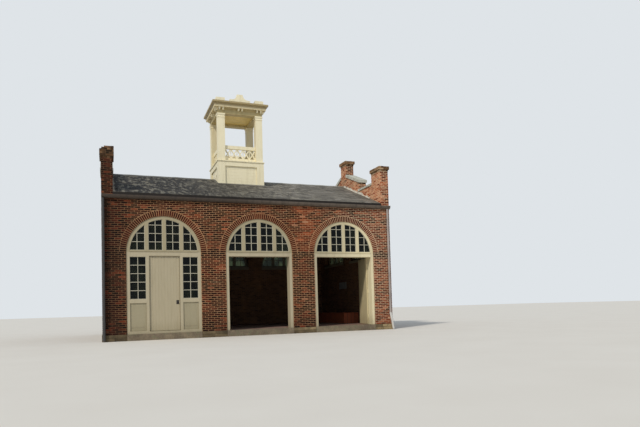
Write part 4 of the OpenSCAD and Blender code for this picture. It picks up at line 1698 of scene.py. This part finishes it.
@dataclass(frozen=True)
class ArchLight:
    """One light under an arch: its sides from the bay's middle, its foot and its curve."""

    left: float
    right: float
    foot: float
    spring: float
    radius: float
    corner: float = 0.002
    least_bar: float = 0.08

    def reach(self, height: float) -> float:
        """Returns half the curve's width: the root of radius squared less rise squared."""
        return math.sqrt(max(0.0, self.radius ** 2 - (height - self.spring) ** 2))

    def outline(self, inset: float, points: int = 16) -> Array:
        """Returns the corners, all sides set in, from the foot round the curve.

        Args:
            inset: how far.
            points: how many points the curve has.

        Returns:
            Corners: radius times cosine and sine of an even run of angles.
        """
        inner = ArchLight(self.left + inset, self.right - inset, self.foot + inset, self.spring,
                          self.radius - inset)
        widest = inner.reach(inner.foot)
        left, right = max(inner.left, -widest), min(inner.right, widest)
        turn = np.linspace(math.acos(right / inner.radius), math.acos(left / inner.radius), points)
        curve = np.c_[inner.radius * np.cos(turn), inner.spring + inner.radius * np.sin(turn)]
        return np.vstack([[left + self.corner, inner.foot], [right - self.corner, inner.foot], curve])

    def bars(self, heights: Row, inset: float) -> Array:
        """Returns the ends of one upright bar and of level bars, kept inside the rim.

        Args:
            heights: those of the level bars. One that would be too short is left out.
            inset: how far the ends stay inside the light.

        Returns:
            Both ends of each bar, bars by 2 by 2.
        """
        middle = (self.left + self.right) / 2
        crown = self.spring + math.sqrt(self.radius ** 2 - middle ** 2)
        ends = [[[middle, self.foot + inset], [middle, crown - inset]]]
        for height in heights:
            left = max(self.left, -self.reach(height)) + inset
            right = min(self.right, self.reach(height)) - inset
            if right - left > self.least_bar:
                ends.append([[left, height], [right, height]])
        return np.array(ends)


@dataclass
class Sashes:
    """Moulded sash rims, thin glazing bars and the plain boards of the panels below.

    mullions are their distance from the middle and their width, sidelight is the near side,
    the foot and the head of one, and panels are the feet and heads of those below it.
    """

    plan: Plan
    chance: Chance
    paint: Material
    plain: Material
    mullions: Pair = (0.585, 0.12)
    heights: Triple = (3.375, 3.668, 3.961)
    sidelight: Triple = (0.615, 1.403, 2.86)
    panes: tuple[int, int] = (2, 5)
    bar_inset: float = 0.008
    panels: tuple[Pair, ...] = ((0.322, 0.432), (0.448, 1.268))
    panel_depth: float = 0.055
    panel_thick: Pair = (0.003, 0.005)
    panel_gap: float = 0.002

    def arched(self, piece: Piece, face: Face, middle: float) -> None:
        """Fills one arched frame.

        Args:
            piece: the piece to add to.
            face: the wall's face.
            middle: the opening's middle.
        """
        shift = np.array([middle, 0.0])
        pitch, half = self.mullions[0], self.mullions[1] / 2
        edges = (-self.plan.light_r, -pitch - half, half - pitch, -half, half, pitch - half, pitch + half,
                 self.plan.light_r)
        for left, right in zip(edges[::2], edges[1::2]):
            light = ArchLight(left, right, self.plan.light_z, self.plan.spring_z, self.plan.light_r)
            piece.add(hoop(face, [light.outline(inset) + shift for inset in RIM[:, 0]], list(RIM[:, 1])))
            piece.add(rails(face, light.bars(self.heights, self.bar_inset) + shift, BAR))

    def straight(self, piece: Piece, face: Face, left: float, right: float) -> None:
        """Fills one sidelight with a rim and its grid of bars.

        Args:
            piece: the piece to add to.
            face: the wall's face.
            left: the light's left side.
            right: its right side.
        """
        foot, head = self.sidelight[1:]
        outlines = [rectangles(left + i, right - i, foot + i, head - i) for i in RIM[:, 0]]
        piece.add(hoop(face, outlines, list(RIM[:, 1])))
        across = np.linspace(left, right, self.panes[0] + 1)[1:-1]
        levels = np.linspace(foot, head, self.panes[1] + 1)[1:-1]
        inset = self.bar_inset
        ends = [[[x, foot + inset], [x, head - inset]] for x in across]
        ends += [[[left + inset, z], [right - inset, z]] for z in levels]
        piece.add(rails(face, np.array(ends), BAR))

    def build(self) -> None:
        """Builds the front fanlights, the lunettes, the sidelights and the panels' boards."""
        front, rest = Piece("fanlight_sashes", "cream_frame"), Piece("lunette_sashes", "cream_frame")
        for side in Side:
            for middle in self.plan.bays(side):
                self.arched(front if side is Side.FRONT else rest, self.plan.face(side), middle)
        front.build(self.paint)
        rest.build(self.paint)
        sidelights, boards = Piece("sidelight_sashes", "cream_frame"), Piece("panel_boards", "cream_frame")
        face, middle = self.plan.face(Side.FRONT), self.plan.front_bays[0]
        near, far, gap = self.sidelight[0], self.plan.light_r, self.panel_gap
        foot, head = np.transpose(self.panels)
        for left, right in ((middle - far, middle - near), (middle + near, middle + far)):
            self.straight(sidelights, face, left, right)
            outline = rectangles(left + gap, right - gap, foot + gap, head - gap)
            thick = self.chance.uniform(*self.panel_thick, (len(outline), 4))
            boards.add_prisms(face, outline, -self.panel_depth - 0.001, thick - self.panel_depth, 0.002)
        sidelights.build(self.paint)
        boards.build(self.plain)


@dataclass
class Boards:
    """Upright boards on the outer faces of the entry door and the open engine bay leaf.

    gap is half the joint between two boards, and eased how far in their edges are rounded.
    """

    plan: Plan
    joints: list[dict]
    chance: Chance
    paint: Material
    width: float = 0.1
    thick: float = 0.0045
    gap: float = 0.0012
    eased: float = 0.0042
    tilt: float = 0.0008
    margin: float = 0.004
    back: float = -0.001
    stile: float = 0.008
    leaf_thick: float = 0.045
    leaf_gap: float = 0.012
    meeting_gap: float = 0.002

    def cover(self, name: str, body: str, face: Face, span: Pair, height: Pair) -> None:
        """Lays boards side by side, each with eased edges and its own faint tilt.

        Args:
            name: the piece's name.
            body: the body that it rides on.
            face: the leaf's outer face.
            span: the leaf's limits across.
            height: its limits up.
        """
        count = round((span[1] - span[0]) / self.width)
        edges = np.linspace(*span, count + 1)
        outline = rectangles(edges[:-1] + self.gap, edges[1:] - self.gap, height[0] + self.margin,
                             height[1] - self.margin)
        front = self.thick + self.chance.uniform(-self.tilt, self.tilt, (count, 4))
        tone = np.c_[self.chance.random(count), np.zeros((count, 2))]
        piece = Piece(name, "door_boards", body)
        piece.add_prisms(face, outline, self.back, front, self.eased, tone)
        piece.build(self.paint)

    def build(self) -> None:
        """Boards both leaves. The engine leaf's face is turned back by its joint's range."""
        low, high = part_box("entry_door")
        self.cover("entry_boards", "entry_leaf", Face.upright(0, -low.y), (low.x + self.stile, high.x),
                   (low.z, high.z))
        low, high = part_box("bay_leaf")
        joint = next(j for j in self.joints if j["name"] == "engine_leaf_hinge")
        hinge = np.array([*joint["pos_m"][:2], 0.0])
        face = Face.upright(-joint["range_deg"][1], self.leaf_thick, hinge)
        self.cover("engine_leaf_boards", "engine_leaf", face,
                   (self.leaf_gap - self.plan.light_r, -self.meeting_gap), (low.z, high.z))


# The cupola

@dataclass
class Cupola:
    """Panel and ceiling boards and the flat metal roof of the open timber cupola.

    recess is half a sunk panel's width and its head. roof_steps are the roof's rings: shares
    of its half width, and heights over its foot. Its seams sink by roof_fall a metre.
    """

    plan: Plan
    chance: Chance
    paint: Material
    varnish: Material
    metal: Material
    recess: Pair = (0.665, 6.90)
    depth: float = 0.06
    over_apron: float = 0.03
    over_slates: float = 0.012
    ceiling_z: float = 9.20
    ceiling_half: float = 0.652
    board: float = 0.13
    gap: float = 0.0006
    tilt: float = 0.0006
    thick: float = 0.010
    worn: float = 0.002
    back: float = -0.001
    top_z: float = 9.56
    top_half: float = 1.10
    roof_steps: tuple[Pair, ...] = ((1.0, -0.002), (1.0, 0.014), (0.94, 0.028), (0.5, 0.075), (0.03, 0.13),
                                    (0.03, -0.002))
    seams_x: Row = (-0.7, -0.35, 0.35, 0.7)
    seam_half: float = 0.012
    seam_height: Pair = (-0.004, 0.022)
    seam_end: float = 0.03
    roof_peak: float = 0.13
    roof_fall: float = 0.11

    def boards(self, piece: Piece, face: Face, half: float, height: Pair,
               lines: tuple[Triple, ...] = ()) -> None:
        """Lays level boards one above the other on a plane.

        Args:
            piece: the piece to add to.
            face: the plane.
            half: half their length.
            height: the limits of the boarded part.
            lines: what trims them, as in trim.
        """
        count = round((height[1] - height[0]) / self.board)
        edges = np.linspace(*height, count + 1)
        outline = rectangles(-half, half, edges[:-1] + self.gap, edges[1:] - self.gap)
        outline, corners = trim(outline, np.full(count, 4), lines)
        front = self.thick + self.chance.uniform(-self.tilt, self.tilt, (count, 1))
        piece.add_prisms(face, outline, self.back, front, self.worn, count=corners)

    def panels(self) -> None:
        """Boards each sunk panel, its foot cut to the slates."""
        piece = Piece("cupola_panel_boards", "cupola_paint")
        half, head = self.recess
        plan, foot = self.plan, self.plan.ridge_z + self.over_slates
        for side in Side:
            face = Face.upright(side.value, plan.cupola_half - self.depth)
            if side.is_long:
                self.boards(piece, face, half, (plan.slate_z(plan.cupola_half) + self.over_apron, head))
            else:
                self.boards(piece, face, half, (plan.slate_z(half), head),
                            ((plan.slope, 1.0, foot), (-plan.slope, 1.0, foot)))
        piece.build(self.paint)

    def ceiling(self) -> None:
        """Boards the ceiling between the beams, on a plane that looks down."""
        face = Face(self.ceiling_z * Z_AXIS, X_AXIS, -Y_AXIS, -Z_AXIS)
        piece = Piece("cupola_ceiling", "cupola_paint")
        self.boards(piece, face, self.ceiling_half, (-self.ceiling_half, self.ceiling_half))
        piece.build(self.varnish)

    def roof(self) -> None:
        """Folds a low metal roof with standing seams over the cornice.

        A ring is a square times its share of the half width. A seam's top is the peak
        less the fall times the larger of its two distances from the middle.
        """
        steps = np.array(self.roof_steps)
        corner = np.array([[-1, -1], [0, -1], [1, -1], [1, 0], [1, 1], [0, 1], [-1, 1], [-1, 0]])
        flat = corner * self.top_half * steps[:, None, :1]
        height = np.repeat(self.top_z + steps[:, 1:], len(corner), 1)
        piece = Piece("cupola_roof", "cupola_paint").add(loft(np.dstack([flat, height])[None]))
        seam = rectangles(-self.seam_half, self.seam_half, *self.seam_height)[[0, 3, 2, 1]]
        y = np.linspace(-1, 1, 9) * (self.top_half - self.seam_end)
        for x in self.seams_x:
            rise = self.roof_peak - self.roof_fall * np.maximum(np.abs(y), abs(x))
            piece.add(sweep(np.c_[np.full(len(y), x), y, self.top_z + rise], X_AXIS, Z_AXIS, seam))
        piece.build(self.metal)

    def build(self) -> None:
        """Builds the cupola's own pieces."""
        self.panels()
        self.ceiling()
        self.roof()


# Paint and studio

def dress(nodes: dict[str, bpy.types.Object], finish: Material, names: str) -> None:
    """Gives CAD nodes their finish.

    Args:
        nodes: the frame's nodes by name.
        finish: the finish.
        names: the nodes that wear it, with spaces between.
    """
    for name in names.split():
        for holder in nodes[name].material_slots:
            holder.material = finish
        LOG.info("%s wears %s", name, finish.name)


@dataclass
class Studio:
    """Pale floor, soft sunlight from the left, and the camera where the photographer stood."""

    camera_at: Triple = (-5.2132, -23.6794, 0.9787)
    pitch: float = 0.0461
    heading: float = 0.3695
    roll: float = -0.0283
    focal_px: float = 559.37
    middle_px: Pair = (324.74, 280.66)
    picture_px: tuple[int, int] = (640, 427)
    far: float = 500.0
    sun_from: Triple = (-0.75, -0.60, 0.90)
    sun_strength: float = 2.2
    sun_width: float = 6.0
    sun_shade: Triple = (1.0, 0.95, 0.87)
    sky_strength: float = 0.55
    sky_shade: Row = (0.78, 0.88, 1.0, 1.0)
    backdrop: str = "#dfe4e8"
    floor_half: float = 150.0
    floor_shades: Shades = ("#d8d2c8", "#e0dbd2")

    def camera(self) -> None:
        """Sets the camera.

        It looks along (sin heading cos pitch, cos heading cos pitch, sin pitch). Its lens
        is the focal length over the picture's width times the film's, and its shift how
        far the picture's middle lies from its own, over that width.
        """
        lens = bpy.data.cameras.new("camera")
        lens.lens = self.focal_px / self.picture_px[0] * lens.sensor_width
        lens.shift_x = (self.picture_px[0] / 2 - self.middle_px[0]) / self.picture_px[0]
        lens.shift_y = (self.middle_px[1] - self.picture_px[1] / 2) / self.picture_px[0]
        lens.clip_end = self.far
        turned, raised = math.cos(self.heading), math.cos(self.pitch)
        ahead = Vector((math.sin(self.heading) * raised, turned * raised, math.sin(self.pitch)))
        level = Vector((turned, -math.sin(self.heading), 0.0))
        upward = level.cross(ahead)
        right = level * math.cos(self.roll) + upward * math.sin(self.roll)
        above = upward * math.cos(self.roll) - level * math.sin(self.roll)
        shown = bpy.data.objects.new("camera", lens)
        shown.matrix_world = (Matrix.Translation(self.camera_at)
                              @ Matrix((right, above, -ahead)).transposed().to_4x4())
        bpy.context.scene.collection.objects.link(shown)
        bpy.context.scene.camera = shown

    def lights(self) -> None:
        """Adds the sun, and a sky that the camera sees as a pale backdrop."""
        sun = bpy.data.lights.new("sun", "SUN")
        sun.energy = self.sun_strength
        sun.angle = math.radians(self.sun_width)
        sun.color = self.sun_shade
        shown = bpy.data.objects.new("sun", sun)
        shown.rotation_euler = Vector(self.sun_from).to_track_quat("Z", "Y").to_euler()
        bpy.context.scene.collection.objects.link(shown)
        world = bpy.data.worlds.new("sky")
        bpy.context.scene.world = world
        world.use_nodes = True
        tree = world.node_tree
        tree.nodes.clear()
        rays = tree.nodes.new("ShaderNodeLightPath")
        output = tree.nodes.new("ShaderNodeOutputWorld")
        blend = tree.nodes.new("ShaderNodeMixShader")
        tree.links.new(rays.outputs["Is Camera Ray"], blend.inputs[0])
        for socket, (shade, strength) in zip(
                blend.inputs[1:], ((self.sky_shade, self.sky_strength), (colour(self.backdrop), 1.0))):
            light = tree.nodes.new("ShaderNodeBackground")
            light.inputs[0].default_value = shade
            light.inputs[1].default_value = strength
            tree.links.new(light.outputs[0], socket)
        tree.links.new(blend.outputs[0], output.inputs[0])
        bpy.context.scene.view_settings.view_transform = "Standard"

    def floor(self) -> None:
        """Lays a wide pale floor that fades into the backdrop far away."""
        mesh = bpy.data.meshes.new("studio_floor")
        corners = [(*corner, 0.0) for corner in rectangles(*[-self.floor_half, self.floor_half] * 2)]
        mesh.from_pydata(corners, [], [(0, 1, 2, 3)])
        graph = Graph("studio_floor", rough=0.95)
        mesh.materials.append(graph.done(graph.ramp(graph.noise(Cloud(1.5, 5.0)), *self.floor_shades)))
        shown = bpy.data.objects.new("studio_floor", mesh)
        bpy.context.scene.collection.objects.link(shown)

    def build(self) -> None:
        """Sets up the camera, the lights and the floor."""
        self.camera()
        self.lights()
        self.floor()


def main() -> None:
    """Builds the finishes, every sub-assembly in order, and the studio."""
    logging.basicConfig(level=logging.INFO, format="%(name)s %(message)s")
    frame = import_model()
    nodes = frame["nodes"]
    plan, bond = Plan.from_frame(), Bond()
    chance = np.random.default_rng(1848)

    brick, masonry = FiredBrick().make(), LimeMortar(bond, plan).make()
    # The front's paints are copies of the cupola's cream made darker and greyer: painted shade on the front,
    # partly a muted real cream. The fanlights and sunk panels get darker copies still, as painted shade.
    cream = OilPaint("cream_paint", "#b7ab8f", "#8d8162", 0.3, painted_shade_share=0.8, painted_sunlight="#e9dcb6").make()
    shaded = OilPaint("fanlight_paint", "#a89c7d", "#857958", 0.3, painted_shade_share=0.8, painted_sunlight="#e6d8b0").make()
    bars = OilPaint("bar_paint", "#bfbaa6", "#9c957c", 0.3, painted_shade_share=0.7).make()
    plain = OilPaint("panel_paint", "#a2987c", "#83785a").make()
    boards = OilPaint("board_paint", "#b2a68a", "#8d8162", 0.25, painted_sunlight="#c9bb93").make()
    # painted shade, yellowish, on the cupola's inner faces under its roof
    cupola_paint = OilPaint("cupola_paint", "#f8edca", "#c9ba8b", wear=0.3, painted_shade="#857133",
                            painted_shade_share=0.28, painted_shade_x=(0.3, 0.6), painted_shade_y=(0.3, 0.6)).make()
    fascia = OilPaint("fascia_paint", "#e4d3a8", "#b3a27a", 0.5, wood="#a8956a", wear=0.3, up_grain=False,
                      bare_z=(9.405, 9.42)).make()
    # The beam's paint is a darker ochre copy of the cupola's cream: painted shade under the cornice.
    beam = OilPaint("beam_paint", "#c2b07e", "#998757", 0.5, up_grain=False).make()
    varnish = OilPaint("ceiling_paint", "#efd486", "#bfa463", 0.5, up_grain=False).make()
    slate = RoofSlate().make()
    lead = Metal("lead", "#5f5c54", "#8a867b", stain="#4d4a43").make()
    lime = Stone("lime", ("#7d766b", "#bcb6a8", "#dcd7c9"), "#59463a", 0.6).make()
    stones = Stone("base_stone", ("#42382a", "#6e5f47", "#a08c69"), "#4f4a35").make()
    mossy = FiredBrick("mossy_brick", ("#1c130b", "#38271a", "#5a402b", "#7c5a40", "#9c7858"),
                       ("#5a3a22", "#7b4f30", "#9a6b47", "#b38a63", "#c9a985"), "#8e7c58", "#221b10").make()
    bed = Stone("cap_bed", ("#4b3a29", "#6d5740", "#8b7355"), "#5d5434", 0.6).make()
    coping = Stone("coping_stone", ("#b0aea0", "#d2d1c6", "#e6e5dc"), "#a3a088", 0.2, joint=0.61).make()
    sill = Stone("sill_stone", ("#665a4c", "#8e8069", "#aca088")).make()
    weather = Weather(plan, chance)
    work = Brickwork(plan, bond, weather, brick)
    work.build()
    ArchBricks(plan, work).build()
    PierCaps(plan, work, mossy, bed).build()
    BaseStones(plan, chance, stones).build()
    Roof(plan, chance, slate, lead, lime).build()
    Sashes(plan, chance, bars, plain).build()
    Boards(plan, frame["joints"], chance, boards).build()
    Cupola(plan, chance, cupola_paint, varnish, lead).build()

    for finish, names in (
            (masonry, "front_piers front_spandrel front_arch_rings rear_wall gable_left gable_right "
                      "lunette_rings"),
            (stones, "stone_base"),
            (sill, "thresholds"),
            (Paving().make(), "floor_slab"),
            (coping, "copings"),
            # near black: painted shadow in the gap between the slates and the gutter
            (RawWood("roof_boards_painted_shadow", ("#14100d", "#2a211a"), 0.22, 1).make(), "roof_front roof_rear"),
            # The gutter's brown is darkened in part as painted shade under the slates; it is darker on the left.
            (Metal("gutter_paint", "#45392f", "#62564a", stain="#2a231d").make(), "gutters"),
            (Metal("pipe_paint", "#403f3e", "#a59b95", foot="#d4d2cd").make(), "downspouts"),
            (cream, "front_transoms lunette_frames lunette_sills jamb_linings entry_frame"),
            (shaded, "front_fanlights"),
            (boards, "entry_door bay_leaf"),
            (OldGlass().make(), "front_fanlight_glass lunette_glass sidelight_glass"),
            (Metal("black_iron", "#1d1c1b", "#1d1c1b", stain="#3d2a20").make(), "entry_latch"),
            (cupola_paint, "cupola_base cupola_ledge cupola_posts cupola_railings cupola_brackets "
                           "cupola_blocks"),
            (beam, "cupola_beam"),
            (fascia, "cupola_cornice"),
            (RawWood("bench_boards", ("#8a4428", "#b8623c"), 0.18, 0).make(), "bench"),
            (Metal("plate_paint", "#77777a", "#8a8a86").make(), "wall_plate")):
        dress(nodes, finish, names)
    Studio().build()


if __name__ == "__main__":
    main()
